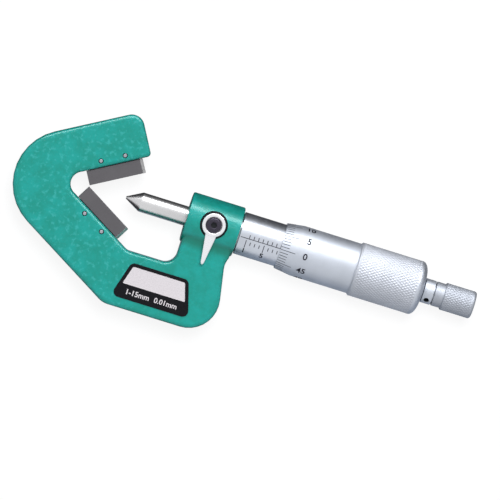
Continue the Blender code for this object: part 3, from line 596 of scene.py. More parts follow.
class Lay(Enum):
    """Direction of the fine marks that a tool leaves."""

    AROUND_X = (9000.0, 120.0, 120.0)
    ALONG_X = (120.0, 9000.0, 9000.0)
    AROUND_Z = (260.0, 260.0, 9000.0)
    EVEN = (5200.0, 5200.0, 5200.0)


@dataclass(frozen=True)
class Metal:
    """Bare or plated metal with fine tool marks and a little cloudiness."""

    name: str
    colour: Colour
    roughness: float
    lay: Lay = Lay.AROUND_X
    turn: float = 0.0
    mark_depth: float = 0.000002
    mark_strength: float = 0.15
    metallic: float = 1.0
    cloudiness: float = 0.04
    cloud_shade: float = 1.6
    marks: Numbers = (1.0, 2.0, 0.6)
    mark_range: Range = (0.25, 0.75)
    cloud: Numbers = (160.0, 2.0, 0.5)
    cloud_range: Range = (0.35, 0.65)

    def build(self) -> Material:
        """Metal whose roughness and colour wander a little along its tool marks."""
        nodes = Nodes(self.name)
        stretched = nodes.add("ShaderNodeMapping", {
            "Vector": nodes.place, "Rotation": (0, 0, self.turn), "Scale": self.lay.value,
        })
        marks = nodes.noise(*self.marks, stretched.outputs["Vector"])
        cloud = nodes.noise(*self.cloud)
        shade = tuple(value * (1 - self.cloud_shade * self.cloudiness) for value in self.colour)
        smooth, rough = self.roughness - self.cloudiness, self.roughness + self.cloudiness
        return nodes.finish(
            Base_Color=nodes.mix(nodes.spread(cloud, *self.cloud_range), shade, self.colour),
            Metallic=self.metallic,
            Roughness=nodes.spread(marks, *self.mark_range, smooth, rough),
            Normal=nodes.bump(marks, self.mark_strength, self.mark_depth),
        )


@dataclass(frozen=True)
class Print:
    """Flat printed or lacquered colour with a faint unevenness."""

    name: str
    colour: Colour
    roughness: float = 0.42
    specular: float = 0.25
    wander: float = 0.05
    grain: Numbers = (2600.0, 2.0, 0.6)
    shade_range: Range = (0.35, 0.65)
    gloss_range: Range = (0.3, 0.7)
    pale: Range = (1.12, 0.004)
    relief: Range = (0.1, 0.00001)

    def build(self) -> Material:
        """Ink with a fine grain in its colour and gloss."""
        nodes = Nodes(self.name)
        grain = nodes.noise(*self.grain)
        gain, rise = self.pale
        pale = tuple(min(1.0, value * gain + rise) for value in self.colour)
        smooth, rough = self.roughness - self.wander, self.roughness + self.wander
        return nodes.finish(
            Base_Color=nodes.mix(nodes.spread(grain, *self.shade_range), self.colour, pale),
            Roughness=nodes.spread(grain, *self.gloss_range, smooth, rough),
            Specular_IOR_Level=self.specular,
            Normal=nodes.bump(grain, *self.relief),
        )


class Finish(Enum):
    """Every finish of the instrument."""

    ENAMEL = HammeredEnamel()
    CHROME = Metal("satin_chrome_plate", (0.585, 0.62, 0.69), 0.36)
    SATIN = Metal("soft_satin_chrome_plate", (0.54, 0.575, 0.64), 0.56)
    KNURL = Metal("knurled_chrome_plate", (0.515, 0.54, 0.595), 0.62, Lay.EVEN)
    # painted shade: a darker copy of the knurled chrome that tones down the knob's highlight
    KNOB_SHADED = Metal("knurled_plate_with_painted_shade", (0.40, 0.425, 0.475), 0.62, Lay.EVEN)
    BRIGHT = Metal("bright_ground_steel", (0.66, 0.66, 0.67), 0.3, mark_strength=0.05)
    LEVER = Metal("polished_lever_plate", (0.86, 0.86, 0.89), 0.28, Lay.EVEN)
    STEEL = Metal("turned_steel", (0.62, 0.62, 0.65), 0.3)
    UPPER_ANVIL = Metal("dark_ground_steel_upper", (0.125, 0.12, 0.13), 0.42, Lay.ALONG_X,
                        -V_HALF_ANGLE, metallic=0.75)
    LOWER_ANVIL = Metal("dark_ground_steel_lower", (0.125, 0.12, 0.13), 0.42, Lay.ALONG_X,
                        V_HALF_ANGLE, metallic=0.75)
    PIN = Metal("pin_steel", (0.42, 0.42, 0.47), 0.3, Lay.AROUND_Z)
    OXIDE = Metal("black_oxide_screw", (0.055, 0.05, 0.07), 0.25, Lay.EVEN, metallic=0.9)
    # near-black print laid in holes, in the screw's socket and on the lever's seat: painted shade
    SHADE = Print("bored_shadow", (0.006, 0.008, 0.010), 0.6)
    PLATE_BLACK = Print("plate_black_ground", (0.003, 0.003, 0.005), 0.5, 0.12)
    PLATE_WHITE = Print("plate_white_field", (0.80, 0.76, 0.80), 0.5)
    INK = Print("scale_ink", (0.028, 0.028, 0.040), 0.7, 0.07)

    @cached_property
    def material(self) -> Material:
        """The finish's material, built when it is first asked for."""
        return self.value.build()


def stand_for(piece: Piece, body: str, slot: str, *nodes: str) -> None:
    """Make a piece ride on its body and stand for CAD nodes.

    Args:
        piece: the new piece.
        body: name of the body that it rides on.
        slot: name of the record's material slot; not used.
        nodes: CAD nodes that it replaces, if any.
    """
    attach(piece, body)
    if nodes:
        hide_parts(*nodes)
    LOG.info("made %s on %s", piece.name, body)


def dress(frame: dict, *nodes: str) -> None:
    """Give CAD nodes that stay in view the turned steel finish."""
    for node in nodes:
        mesh = frame["nodes"][node].data
        mesh.materials.clear()
        mesh.materials.append(Finish.STEEL.material)
        LOG.info("dressed %s", node)


# Sub-assemblies


@dataclass
class Casting:
    """The C-shaped frame: the CAD solid's own form, welded, smoothed and enamelled."""

    node: str = "frame"
    sharp: float = 38.0
    spot_radius: float = 4.52
    spot_depth: float = 1.0

    def build(self, frame: dict, axis: Axis) -> None:
        """Weld the casting's loose triangles and dress them.

        Coincident corners are found by rounding their places to a micrometre and keeping one of
        each; a triangle then names the kept corners.

        Args:
            axis: the spindle's axis.
        """
        mesh = frame["nodes"][self.node].data
        points = read(mesh.vertices, "co").astype(float) / MM
        corners = read(mesh.loops, "vertex_index", np.int32, 1)
        kept, index = np.unique(np.round(points, 3), axis=0, return_inverse=True)
        surface = Surface().add(kept, index.reshape(-1)[corners])
        casting = surface.piece("frame_casting", Finish.ENAMEL, Finish.SHADE, sharp=self.sharp)
        self.shade_spot_face(casting, axis)
        weighted(casting)
        stand_for(casting, "frame", "green_enamel", self.node)

    def shade_spot_face(self, casting: Piece, axis: Axis) -> None:
        """Paint shadow on the machined seat under the lock lever, found by its place on the boss."""
        low, high = box_of("lock_lever")
        hub = np.array([(low[0] + high[0]) / 2, axis.y])
        centre = read(casting.data.polygons, "center") / MM
        near = np.linalg.norm(centre[:, :2] - hub, axis=1) < self.spot_radius
        refinish(casting, near & (centre[:, 2] > low[2] - self.spot_depth))


@dataclass
class Jaw:
    """One hardened insert with its two cross pins, drawn along its measuring face."""

    name: str
    side: int
    finish: Finish
    start: float = 0.5
    length: float = 18.4
    width: float = 8.0
    height: float = 4.65
    chamfer: float = 0.9
    edge: float = 0.12
    sharp: float = 50.0
    facing: float = 0.6
    tenon_width: float = 3.8
    tenon_inset: float = 1.0
    tenon_end: float = 8.6
    pin_radius: float = 0.7
    pin_bevel: float = 0.18
    pin_round: float = 0.08
    pin_columns: int = 32

    def placed(self, rings: Array, apex: float, axis: Axis) -> Array:
        """Places of rings given along the measuring face, up, and out into the jaw."""
        along, height, out = np.moveaxis(rings, -1, 0)
        c, s = math.cos(V_HALF_ANGLE), math.sin(V_HALF_ANGLE)
        return np.stack([
            apex + along * c - out * s,
            axis.y + self.side * (along * s + out * c),
            axis.z + height,
        ], axis=-1)

    def brighten_chamfers(self, insert: Piece) -> None:
        """Give the ground chamfers at the free end the second finish, by the way they face."""
        normal = read(insert.data.polygons, "normal")
        along = normal[:, 0] * math.cos(V_HALF_ANGLE)
        along += normal[:, 1] * self.side * math.sin(V_HALF_ANGLE)
        refinish(insert, (along > self.facing) & (np.abs(normal[:, 2]) > self.facing))

    def build(self, axis: Axis) -> None:
        """Make the insert with its tenon, then its pins."""
        end = self.start + self.length
        apex = box_of(self.name)[1][0] - end * math.cos(V_HALF_ANGLE)
        half, cut, edge = self.width / 2, self.chamfer, self.edge
        face = filleted([
            (self.start, -half), (end - cut, -half), (end, cut - half),
            (end, half - cut), (end - cut, half), (self.start, half),
        ], (edge,) * 6, steps=3)
        half = self.tenon_width / 2
        first, last = self.start + self.tenon_inset, end - self.tenon_inset
        tenon = filleted([
            (first, -half), (last, -half), (last, half), (first, half),
        ], (edge,) * 4, steps=2)
        surface = Surface()
        for rings in (
            rounded_slab(face, 0.0, self.height, edge),
            rounded_slab(tenon, self.height - edge, self.tenon_end, edge),
        ):
            surface.bars(self.placed(rings, apex, axis)[None])
        insert = surface.piece(
            f"{self.name}_insert", self.finish, Finish.BRIGHT, sharp=self.sharp)
        self.brighten_chamfers(insert)
        weighted(insert)
        stand_for(insert, "frame", "anvil_steel", self.name)
        for number in (1, 2):
            self.pin(f"{self.name}_pin_{number}")

    def pin(self, node: str) -> None:
        """Make a cross pin with chamfered ends."""
        low, high = box_of(node)
        x, y = (low[:2] + high[:2]) / 2
        radius, bevel = self.pin_radius, self.pin_bevel
        profile = filleted([
            (low[2], 0), (low[2], radius - bevel), (low[2] + bevel, radius),
            (high[2] - bevel, radius), (high[2], radius - bevel), (high[2], 0),
        ], (0, *(self.pin_round,) * 4, 0), steps=2)
        surface = Surface().grid(upright(profile, x, y, self.pin_columns))
        stand_for(surface.piece(f"{node}_peg", Finish.PIN), "frame", "ground_steel", node)


@dataclass
class RangePlate:
    """Printed plate on the frame's front: black ground, bare white field, and the range in figures."""

    foot_width: float = 26.0
    top_width: float = 19.0
    corner: float = 1.8
    least_corner: float = 0.35
    field_corner: float = 0.25
    edge: float = 0.12
    sharp: float = 50.0
    border: float = 1.15
    band: float = 4.7
    print_thickness: float = 0.03
    print_edge: float = 0.02
    figure_height: float = 1.75
    groups: tuple[tuple[str, float], ...] = (("1-15mm", -4.6), ("0.01mm", 4.6))
    group_drop: float = 2.45

    def outline(self, centre: float, foot: float, top: float, inset: float) -> Array:
        """Trapezoid with rounded corners, between two heights, moved in from the plate's sides."""
        low, high = box_of("range_plate")
        lean = (self.foot_width - self.top_width) / 2 / (high[1] - low[1])
        half = self.foot_width / 2 - inset * math.sqrt(1 + lean * lean)
        foot_half = half - lean * (foot - low[1])
        top_half = half - lean * (top - low[1])
        radius = max(self.least_corner, self.corner - inset)
        foot_radius = radius if foot - low[1] < self.corner else self.field_corner
        return filleted([
            (centre - foot_half, foot), (centre + foot_half, foot),
            (centre + top_half, top), (centre - top_half, top),
        ], (foot_radius, foot_radius, radius, radius), steps=6)

    def build(self) -> None:
        """Make the plate, then its printing."""
        low, high = box_of("range_plate")
        centre = (low[0] + high[0]) / 2
        ground = rounded_slab(
            self.outline(centre, low[1], high[1], 0.0), low[2], high[2], self.edge)
        plate = Surface().bars(ground[None])
        piece = plate.piece("range_plate_ground", Finish.PLATE_BLACK, sharp=self.sharp)
        weighted(piece)
        stand_for(piece, "frame", "label_print", "range_plate")
        bottom, top = high[2] - self.print_thickness, high[2] + self.print_thickness
        field = self.outline(centre, low[1] + self.band, high[1] - self.border, self.border)
        printing = Surface().bars(rounded_slab(field, bottom, top, self.print_edge, 1)[None])
        for text, shift in self.groups:
            points, triangles = lettering(text, self.figure_height, self.print_thickness * 2)
            printing.add(points + [centre + shift, low[1] + self.group_drop, high[2]], triangles)
        piece = printing.piece("range_plate_print", Finish.PLATE_WHITE)
        stand_for(piece, "frame", "label_print")


@dataclass
class Drum:
    """Marks and figures laid on a drum about the spindle's axis."""

    axis: Axis
    lift: float = 0.012
    sink: float = 0.03
    figure_lift: float = 0.01

    def bands(self, x: Array, angle: Array, radius: Array | float, steps: int) -> Array:
        """Thin bars between two places along the axis and two angles.

        Ring corners run inside low, outside low, outside high, inside high; rings turn evenly
        from the first angle to the last.

        Args:
            x: (marks, 2) places along the axis.
            angle: (marks, 2) angles from up towards +Y.
            radius: (marks, 2) surface radius at the two places, or one for all.
            steps: spans between the two angles.

        Returns:
            Array of (marks, steps + 1, 4, 3) points.
        """
        share = np.linspace(0, 1, steps + 1)[None, :, None]
        turn = angle[:, None, :1] + (angle[:, None, 1:] - angle[:, None, :1]) * share
        ends = [0, 0, 1, 1]
        out = np.array([-self.sink, self.lift, self.lift, -self.sink])
        surface = np.broadcast_to(radius, x.shape)[:, None, ends]
        return self.axis.ring(x[:, None, ends], surface + out, turn)

    def figures(self, surface: Surface, text: str, x: float, angle: float, radius: float,
                height: float) -> None:
        """Wrap figures round the drum, read along the axis with their tops towards +Y.

        A point (u, v, w) of the flat figures goes to x + u, angle + v / radius and radius + w.

        Args:
            surface: where the figures are gathered.
            text: the figures.
            x: their centre along the axis.
            angle: their centre's angle.
            radius: the drum's radius.
            height: height of a figure.
        """
        points, triangles = lettering(text, height, self.lift * 2 + self.sink)
        u, v, w = points.T
        out = radius + w + self.figure_lift
        surface.add(self.axis.ring(x + u, out, angle + v / radius), triangles)


@dataclass
class ScaleSleeve:
    """Outer sleeve with the main scale: a reading line, whole marks below it and halves above."""

    wall: float = 1.05
    edge: float = 0.2
    bore_edge: float = 0.1
    columns: int = 160
    line_width: float = 0.22
    line_inset: float = 0.5
    line_over: float = 1.2
    mark_width: float = 0.24
    step: float = 1.5
    reading: float = 8.5
    marks: int = 15
    named: tuple[int, ...] = (1, 5, 10, 15)
    short: Range = (-1.9, -3.0)
    long: Range = (-1.5, -4.0)
    halves: Range = (-0.75, 0.35)
    figure_height: float = 2.0
    figure_place: float = -4.95
    hole_radius: float = 0.8
    hole_inset: float = 3.6
    hole_over: float = 0.5

    def build(self, axis: Axis) -> None:
        """Make the sleeve with its spanner hole underneath, then the scale."""
        low, high = box_of("outer_sleeve")
        radius = (high[2] - low[2]) / 2
        bore = radius - self.wall
        profile = filleted([
            (low[0], bore), (low[0], radius), (high[0], radius), (high[0], bore),
        ], (self.bore_edge, self.edge, self.edge, self.bore_edge), steps=4)
        surface = Surface().grid(axis.spun(profile, self.columns), wrap_rows=True)
        sleeve = surface.piece("scale_sleeve", Finish.CHROME)
        axis.drill(sleeve, low[0] + self.hole_inset, math.pi, radius, self.hole_radius,
                   self.wall + self.hole_over)
        stand_for(sleeve, "frame", "satin_chrome", "outer_sleeve")
        self.scale(axis, radius, low[0])

    def scale(self, axis: Axis, radius: float, start: float) -> None:
        """Lay the reading line, the marks and the figures on the sleeve.

        A mark's ends are given by how far across the sleeve they look from above, y, and lie at
        the angle whose sine is y / radius.

        Args:
            axis: the spindle's axis.
            radius: the sleeve's radius.
            start: the sleeve's end at the boss.
        """
        drum = Drum(axis)
        first = box_of("thimble")[0][0] - self.step * (self.reading - 1)
        number = np.arange(1, self.marks + 1)
        x = first + self.step * (number - 1)
        half = self.line_width / 2 / radius
        surface = Surface().bars(drum.bands(
            np.array([[start + self.line_inset, x[-1] + self.line_over]]),
            np.array([[READING_LINE - half, READING_LINE + half]]), radius, steps=2))
        reach = np.where(np.isin(number, self.named)[:, None], self.long, self.short)
        halves = np.tile(self.halves, (self.marks - 1, 1))
        for place, ends in ((x, reach), (x[:-1] + self.step / 2, halves)):
            spans = np.stack([place - self.mark_width / 2, place + self.mark_width / 2], axis=1)
            surface.bars(drum.bands(spans, np.arcsin(ends / radius), radius, steps=5))
        for name in self.named:
            drum.figures(surface, str(name), x[name - 1], math.asin(self.figure_place / radius),
                         radius, self.figure_height)
        stand_for(surface.piece("main_scale", Finish.INK), "frame", "satin_chrome")


@dataclass(frozen=True)
class Knurl:
    """Diamond knurl rolled into a grip: two sets of grooves that cross."""

    starts: int
    pitch: float
    depth: float
    fade: float
    flat: float = 0.8
    columns_per_start: int = 8
    rows_per_pitch: int = 8

    def rows(self, start: float, end: float) -> Array:
        """Even places along the grip, fine enough for the grooves."""
        count = int(round((end - start) / self.pitch * self.rows_per_pitch))
        return np.linspace(start, end, count + 1)

    def relief(self, x: Array, angle: Array) -> Array:
        """Depth below the ridges: 0 on a diamond's top, the full depth in a groove.

        With u and v the turns starts * angle / 2 pi plus and minus x / pitch, the height is the
        lesser of their triangle waves, with its peak flattened.
        """
        turns = self.starts * angle / (2 * math.pi)
        height = np.minimum(wave(turns + x / self.pitch), wave(turns - x / self.pitch))
        return self.depth * (1 - np.minimum(height / self.flat, 1.0))

    def spun(self, axis: Axis, front: Array, rows: Array, radius: float, rest: Array) -> Surface:
        """Turned piece whose grip carries the knurl, which fades out at both of its ends.

        Args:
            axis: the spindle's axis.
            front: (x, radius) profile up to the grip.
            rows: places along the grip.
            radius: the grip's radius.
            rest: profile beyond the grip, back to the first point.

        Returns:
            The closed surface.
        """
        grip = np.stack([rows, np.full(len(rows), radius)], axis=1)
        profile = np.concatenate([front, grip, rest])
        share = np.zeros((len(profile), 1))
        ramp = np.minimum(rows - rows[0], rows[-1] - rows) / self.fade
        share[len(front): len(front) + len(rows), 0] = np.clip(ramp, 0, 1)
        turn = full_turn(self.starts * self.columns_per_start)[None, :]
        relief = self.relief(profile[:, :1], turn) * share
        return Surface().grid(
            axis.ring(profile[:, :1], profile[:, 1:] - relief, turn), wrap_rows=True)


@dataclass
class Thimble:
    """Drum with the fine scale on its bevel, a knurled grip and a domed end."""

    bore: float = 7.25
    lip: float = 7.5
    body: float = 8.3
    bevel_length: float = 5.65
    smooth_length: float = 19.1
    relief_length: float = 0.35
    relief_depth: float = 0.1
    dome_length: float = 2.4
    dome_steps: int = 12
    land: float = 4.3
    cone_length: float = 5.7
    hub_inset: float = 0.7
    hub_bore: float = 4.79
    shoulder_bore: float = 3.89
    stud_bore: float = 2.45
    rim: float = 0.45
    rounds: Numbers = (0.1, 0.08, 0.6, 0.05, 0.03, 0.03, 0.1, 0, 0)
    sharp: float = 60.0
    knurl: Knurl = Knurl(starts=58, pitch=1.55, depth=0.2, fade=0.3)
    knurl_gap: Range = (0.15, 0.1)
    divisions: int = 50
    numbered: int = 5
    mark_width: float = 0.2
    mark_start: float = 0.12
    short_mark: float = 2.7
    long_mark: float = 4.9
    figure_place: float = 8.2
    figure_height: float = 2.2

    def build(self, axis: Axis) -> None:
        """Make the drum with its knurl, give the grip its own finish, then lay the fine scale."""
        low, high = box_of("thimble")
        start, end = low[0], high[0]
        grip = (high[2] - low[2]) / 2
        grip_start = start + self.bevel_length + self.smooth_length
        grip_end = end - self.dome_length
        front = distinct(filleted([
            (start, self.bore), (start, self.lip), (start + self.bevel_length, self.body),
            (grip_start - self.relief_length, self.body),
            (grip_start, self.body - self.relief_depth), (grip_start, grip - self.rim),
            (grip_start + self.rim, grip), (end, grip), (end, self.bore),
        ], self.rounds, steps=4))[:-2]
        before, after = self.knurl_gap
        rows = self.knurl.rows(grip_start + self.rim + before, grip_end - after)
        angle = np.linspace(0, math.pi / 2, self.dome_steps + 1)[1:]
        dome = np.stack([
            grip_end + self.dome_length * np.sin(angle),
            self.land + (grip - self.land) * np.cos(angle),
        ], axis=1)
        shoulder = box_of("spindle")[1][0] + self.hub_inset
        hub = shoulder - self.cone_length
        rest = np.concatenate([dome, [
            (end, self.stud_bore), (shoulder, self.stud_bore), (shoulder, self.shoulder_bore),
            (hub, self.hub_bore), (hub, self.bore),
        ]])
        surface = self.knurl.spun(axis, front, rows, grip, rest)
        piece = surface.piece("thimble_drum", Finish.SATIN, Finish.KNURL, sharp=self.sharp)
        x = read(piece.data.polygons, "center")[:, 0] / MM
        refinish(piece, (x > grip_start) & (x < grip_end))
        stand_for(piece, "thimble", "satin_chrome", "thimble")
        self.scale(axis, start)

    def scale(self, axis: Axis, start: float) -> None:
        """Lay the marks on the bevel, and make every fifth longer and number it."""
        number = np.arange(self.divisions)
        angle = READING_LINE + 2 * math.pi * number / self.divisions
        reach = np.where(number % self.numbered == 0, self.long_mark, self.short_mark)
        x = np.stack([np.full(self.divisions, self.mark_start), reach], axis=1)
        radius = self.lip + (self.body - self.lip) * np.clip(x / self.bevel_length, 0, 1)
        half = self.mark_width / 2 / self.body
        drum = Drum(axis)
        turn = np.stack([angle - half, angle + half], axis=1)
        surface = Surface().bars(drum.bands(start + x, turn, radius, steps=1))
        for value in range(0, self.divisions, self.numbered):
            drum.figures(surface, str(value), start + self.figure_place, angle[value],
                         self.body, self.figure_height)
        stand_for(surface.piece("fine_scale", Finish.INK), "thimble", "satin_chrome")


@dataclass
class Spindle:
    """Ground rod with a cone point, its screw, and the cone that carries the thimble."""

    radius: float = 3.175
    tip: float = 0.4
    tip_half_angle: float = math.radians(29.0)
    columns: int = 128
    rounds: Numbers = (0, 0.12, 0.25, 0.05, 0.05, 0, 0)
    sharp: float = 32.0
    relief: float = 1.0
    screw_start: float = 41.7
    screw_end: float = 6.7
    screw_radius: float = 3.35
    screw_depth: float = 0.35
    run_in: float = 0.1
    pitch: float = 0.75
    steps_per_pitch: int = 6
    cone_length: float = 5.7
    cone_foot: float = 4.6
    cone_top: float = 3.7
    socket: float = 2.3
    socket_depth: float = 3.2

    def build(self, axis: Axis) -> None:
        """Spin the rod, with a true helical thread on its screw.

        The thread's radius is the crest less the depth times a triangle wave of the place along
        the axis less one pitch for each turn, so the crest winds right-handed.

        Args:
            axis: the spindle's axis.
        """
        low, high = box_of("spindle")
        start, end = low[0], high[0]
        point = start + (self.radius - self.tip) / math.tan(self.tip_half_angle)
        thread = end - self.screw_start
        groove = self.screw_radius - self.screw_depth
        front = distinct(filleted([
            (start, 0), (start, self.tip), (point, self.radius),
            (thread - self.relief, self.radius), (thread - self.relief, groove),
            (thread, groove), (thread, 0),
        ], self.rounds))[:-1]
        screw = np.arange(
            thread + self.run_in, end - self.screw_end, self.pitch / self.steps_per_pitch)
        cone, floor = end - self.cone_length, end - self.socket_depth
        profile = np.concatenate([
            front,
            np.stack([screw, np.full(len(screw), self.screw_radius)], axis=1),
            [(end - self.screw_end, groove), (cone, groove), (cone, self.cone_foot),
             (end, self.cone_top), (end, self.socket), (floor, self.socket), (floor, 0)],
        ])
        share = np.zeros((len(profile), 1))
        share[len(front): len(front) + len(screw)] = 1
        angle = full_turn(self.columns)[None, :]
        turns = profile[:, :1] / self.pitch - angle / (2 * math.pi)
        radius = profile[:, 1:] - self.screw_depth * (1 - wave(turns)) * share
        surface = Surface().grid(axis.ring(profile[:, :1], radius, angle))
        piece = surface.piece("spindle_rod", Finish.BRIGHT, sharp=self.sharp)
        stand_for(piece, "spindle", "spindle_steel", "spindle")


@dataclass
class Ratchet:
    """Screw-in neck with a spanner hole, and the finger knob that clicks round on it."""

    neck: float = 4.0
    neck_length: float = 3.3
    neck_columns: int = 128
    neck_rounds: Numbers = (0, 0.2, 0.05, 0.15, 0.15, 0, 0.1, 0, 0, 0)
    stud: float = 2.0
    stud_length: float = 6.8
    crown: float = 3.0
    crown_gap: float = 0.3
    bore: float = 1.2
    tap_depth: float = 2.0
    hole: float = 0.9
    hole_depth: float = 1.3
    hole_angle: float = math.radians(-44.0)
    grip: float = 4.5
    grip_rim: float = 0.25
    knob_bore: float = 3.3
    collar: float = 3.0
    round_end: float = 0.9
    round_steps: int = 8
    sink_radius: float = 2.3
    sink_rim: float = 0.2
    sink_depth: float = 3.1
    web: float = 1.6
    knob_rounds: Numbers = (0.05, 0.15, 0.02, 0.05, 0.08, 0, 0)
    sharp: float = 60.0
    knurl: Knurl = Knurl(starts=32, pitch=1.4, depth=0.17, fade=0.25)
    knurl_gap: Range = (0.35, 0.1)

    def build_neck(self, axis: Axis) -> None:
        """Stud, neck with rounded shoulders, and the crown's seat, with a drilled spanner hole."""
        low, high = box_of("ratchet_base")
        start = low[0] + self.stud_length
        end = start + self.neck_length
        crown, tapped = high[0] - self.crown_gap, start - self.tap_depth
        profile = distinct(filleted([
            (low[0], 0), (low[0], self.stud), (start, self.stud), (start, self.neck),
            (end, self.neck), (end, self.crown), (crown, self.crown), (crown, self.bore),
            (tapped, self.bore), (tapped, 0),
        ], self.neck_rounds, steps=4))
        surface = Surface().grid(axis.spun(profile, self.neck_columns))
        piece = surface.piece("ratchet_neck", Finish.SATIN)
        axis.drill(piece, (start + end) / 2, self.hole_angle, self.neck, self.hole,
                   self.hole_depth)
        stand_for(piece, "thimble", "satin_chrome", "ratchet_base")

    def build_knob(self, axis: Axis) -> None:
        """Collar, knurled grip with a rounded end, and the recess for the screw's head."""
        low, high = box_of("ratchet_knob")
        start, end = low[0], high[0]
        grip_start = start + self.collar
        front = distinct(filleted([
            (start, self.knob_bore), (start, self.neck), (grip_start, self.neck),
            (grip_start, self.grip - self.grip_rim), (grip_start + self.grip_rim, self.grip),
            (end, self.grip), (end, self.knob_bore),
        ], self.knob_rounds, steps=4))[:-2]
        before, after = self.knurl_gap
        rows = self.knurl.rows(grip_start + before, end - self.round_end - after)
        angle = np.linspace(0, math.pi / 2, self.round_steps + 1)
        cap = np.stack([
            end - self.round_end + self.round_end * np.sin(angle),
            self.grip - self.round_end + self.round_end * np.cos(angle),
        ], axis=1)
        floor = end - self.sink_depth
        back = floor - self.web
        rest = np.concatenate([cap, [
            (end, self.sink_radius + self.sink_rim), (end - self.sink_rim, self.sink_radius),
            (floor, self.sink_radius), (floor, self.bore), (back, self.bore),
            (back, self.knob_bore),
        ]])
        surface = self.knurl.spun(axis, front, rows, self.grip, rest)
        # the knob takes the darker knurled chrome, painted shade over its highlight
        piece = surface.piece("ratchet_grip", Finish.KNOB_SHADED, sharp=self.sharp)
        stand_for(piece, "ratchet", "satin_chrome", "ratchet_knob")


@dataclass
class Lock:
    """Clamp lever on the boss, held by a black domed screw."""

    ring: float = 3.8
    ring_height: float = 2.25
    ring_columns: int = 96
    bore: float = 1.91
    ring_rounds: Numbers = (0.05, 0.15, 0.35, 0.2, 0.05, 0.05)
    well: float = 2.65
    well_floor: float = 17.35
    finger_start: float = 2.9
    finger_root: float = 3.8
    finger_tip: float = 1.0
    finger_sink: float = 0.15
    finger_rings: int = 40
    finger_columns: int = 32
    finger_power: float = 3.0
    last_share: float = 0.999
    tip_start: float = 0.9
    level_share: float = 0.08
    sharp: float = 40.0
    thickness: float = 1.3
    droop: float = 1.5
    screw: float = 2.5
    shank: float = 0.7
    head_side: float = 0.5
    head_slope: Range = (0.12, 0.42)
    rim: Numbers = (0.75, 0.68, 0.55)
    dish: float = 0.2
    screw_columns: int = 72
    screw_rounds: Numbers = (0, 0.1, 0.05, 0.1, 0.2, 0.3, 0.1, 0.05, 0.02, 0)
    seat_gap: float = 0.16
    socket: float = 1.8
    socket_depth: float = 0.75
    socket_edge: float = 0.02

    def build(self, axis: Axis) -> None:
        """Make the lever and its screw."""
        low, high = box_of("lock_lever")
        x = (low[0] + high[0]) / 2
        self.build_lever(x, axis.y, axis.y - low[1], high[2])
        self.build_screw(x, axis.y)

    def build_lever(self, x: float, y: float, reach: float, top: float) -> None:
        """Unite the ring with a finger that narrows, droops and ends in a round tip.

        The finger's section is a superellipse of finger_power. Its half width shrinks evenly to the
        tip, where it closes as the root of one minus the square of the last share.

        Args:
            x: the ring's centre along the spindle.
            y: the ring's centre across it.
            reach: distance from the centre to the finger's tip.
            top: height of the ring's top.
        """
        bottom, well = top - self.ring_height, self.well_floor
        profile = filleted([
            (bottom, self.bore), (bottom, self.ring), (top, self.ring), (top, self.well),
            (well, self.well), (well, self.bore),
        ], self.ring_rounds)
        surface = Surface().grid(upright(profile, x, y, self.ring_columns), wrap_rows=True)
        lever = surface.piece("lock_lever_arm", Finish.LEVER)
        share = np.linspace(0, 1, self.finger_rings)
        closing = (share - self.tip_start) / (1 - self.tip_start)
        closing = np.clip(closing, 0, self.last_share)
        taper = np.sqrt(1 - closing ** 2)
        half = (self.finger_root + (self.finger_tip - self.finger_root) * share) / 2 * taper
        place = y - (self.finger_start + (reach - self.finger_start) * share)
        fall = np.clip(share - self.level_share, 0, 1) / (1 - self.level_share)
        middle = top - self.finger_sink - self.thickness / 2 - self.droop * fall
        turn = full_turn(self.finger_columns)[None, :]
        across, upward = (
            np.sign(way) * np.abs(way) ** (2 / self.finger_power)
            for way in (np.cos(turn), np.sin(turn))
        )
        rings = np.stack(np.broadcast_arrays(
            x + half[:, None] * across,
            place[:, None],
            middle[:, None] + self.thickness / 2 * taper[:, None] * upward,
        ), axis=-1)
        finger = Surface().bars(rings[None]).piece("finger", Finish.LEVER)
        combined(lever, finger, "UNION", self.sharp)
        stand_for(lever, "lock", "satin_chrome", "lock_lever")

    def build_screw(self, x: float, y: float) -> None:
        """Spin the screw's domed head and shank, then press in its hexagon."""
        low, high = box_of("lock_screw")
        base, top = self.well_floor + self.seat_gap, high[2]
        drop, inset = self.head_slope
        outer, inner, foot = (share * self.socket for share in self.rim)
        profile = filleted([
            (low[2], 0), (low[2], self.shank), (base, self.shank), (base, self.screw),
            (top - self.head_side, self.screw), (top - drop, self.screw - inset), (top, outer),
            (top, inner), (top - self.dish, foot), (top - self.dish, 0),
        ], self.screw_rounds, steps=4)
        surface = Surface().grid(upright(profile, x, y, self.screw_columns))
        screw = surface.piece("lock_screw_head", Finish.OXIDE)
        corner = full_turn(6)
        hexagon = np.stack([np.cos(corner), np.sin(corner)], axis=1) * self.socket / math.sqrt(3)
        rings = rounded_slab(hexagon + [x, y], top - self.socket_depth, top + DRILL_OVER,
                             self.socket_edge, 1)
        # the cutter's near-black finish passes to the socket's walls: painted shade in the socket
        combined(screw, Surface().bars(rings[None]).piece("socket", Finish.SHADE), "DIFFERENCE")
        stand_for(screw, "lock", "black_oxide", "lock_screw")


# Stage


def facing(place: Vector, back: Vector, up: Vector) -> Matrix:
    """Matrix of a lamp or camera at a place, that looks against back with up upwards."""
    right = up.cross(back).normalized()
    turn = Matrix((right, back.cross(right), back)).transposed()
    return Matrix.Translation(place) @ turn.to_4x4()


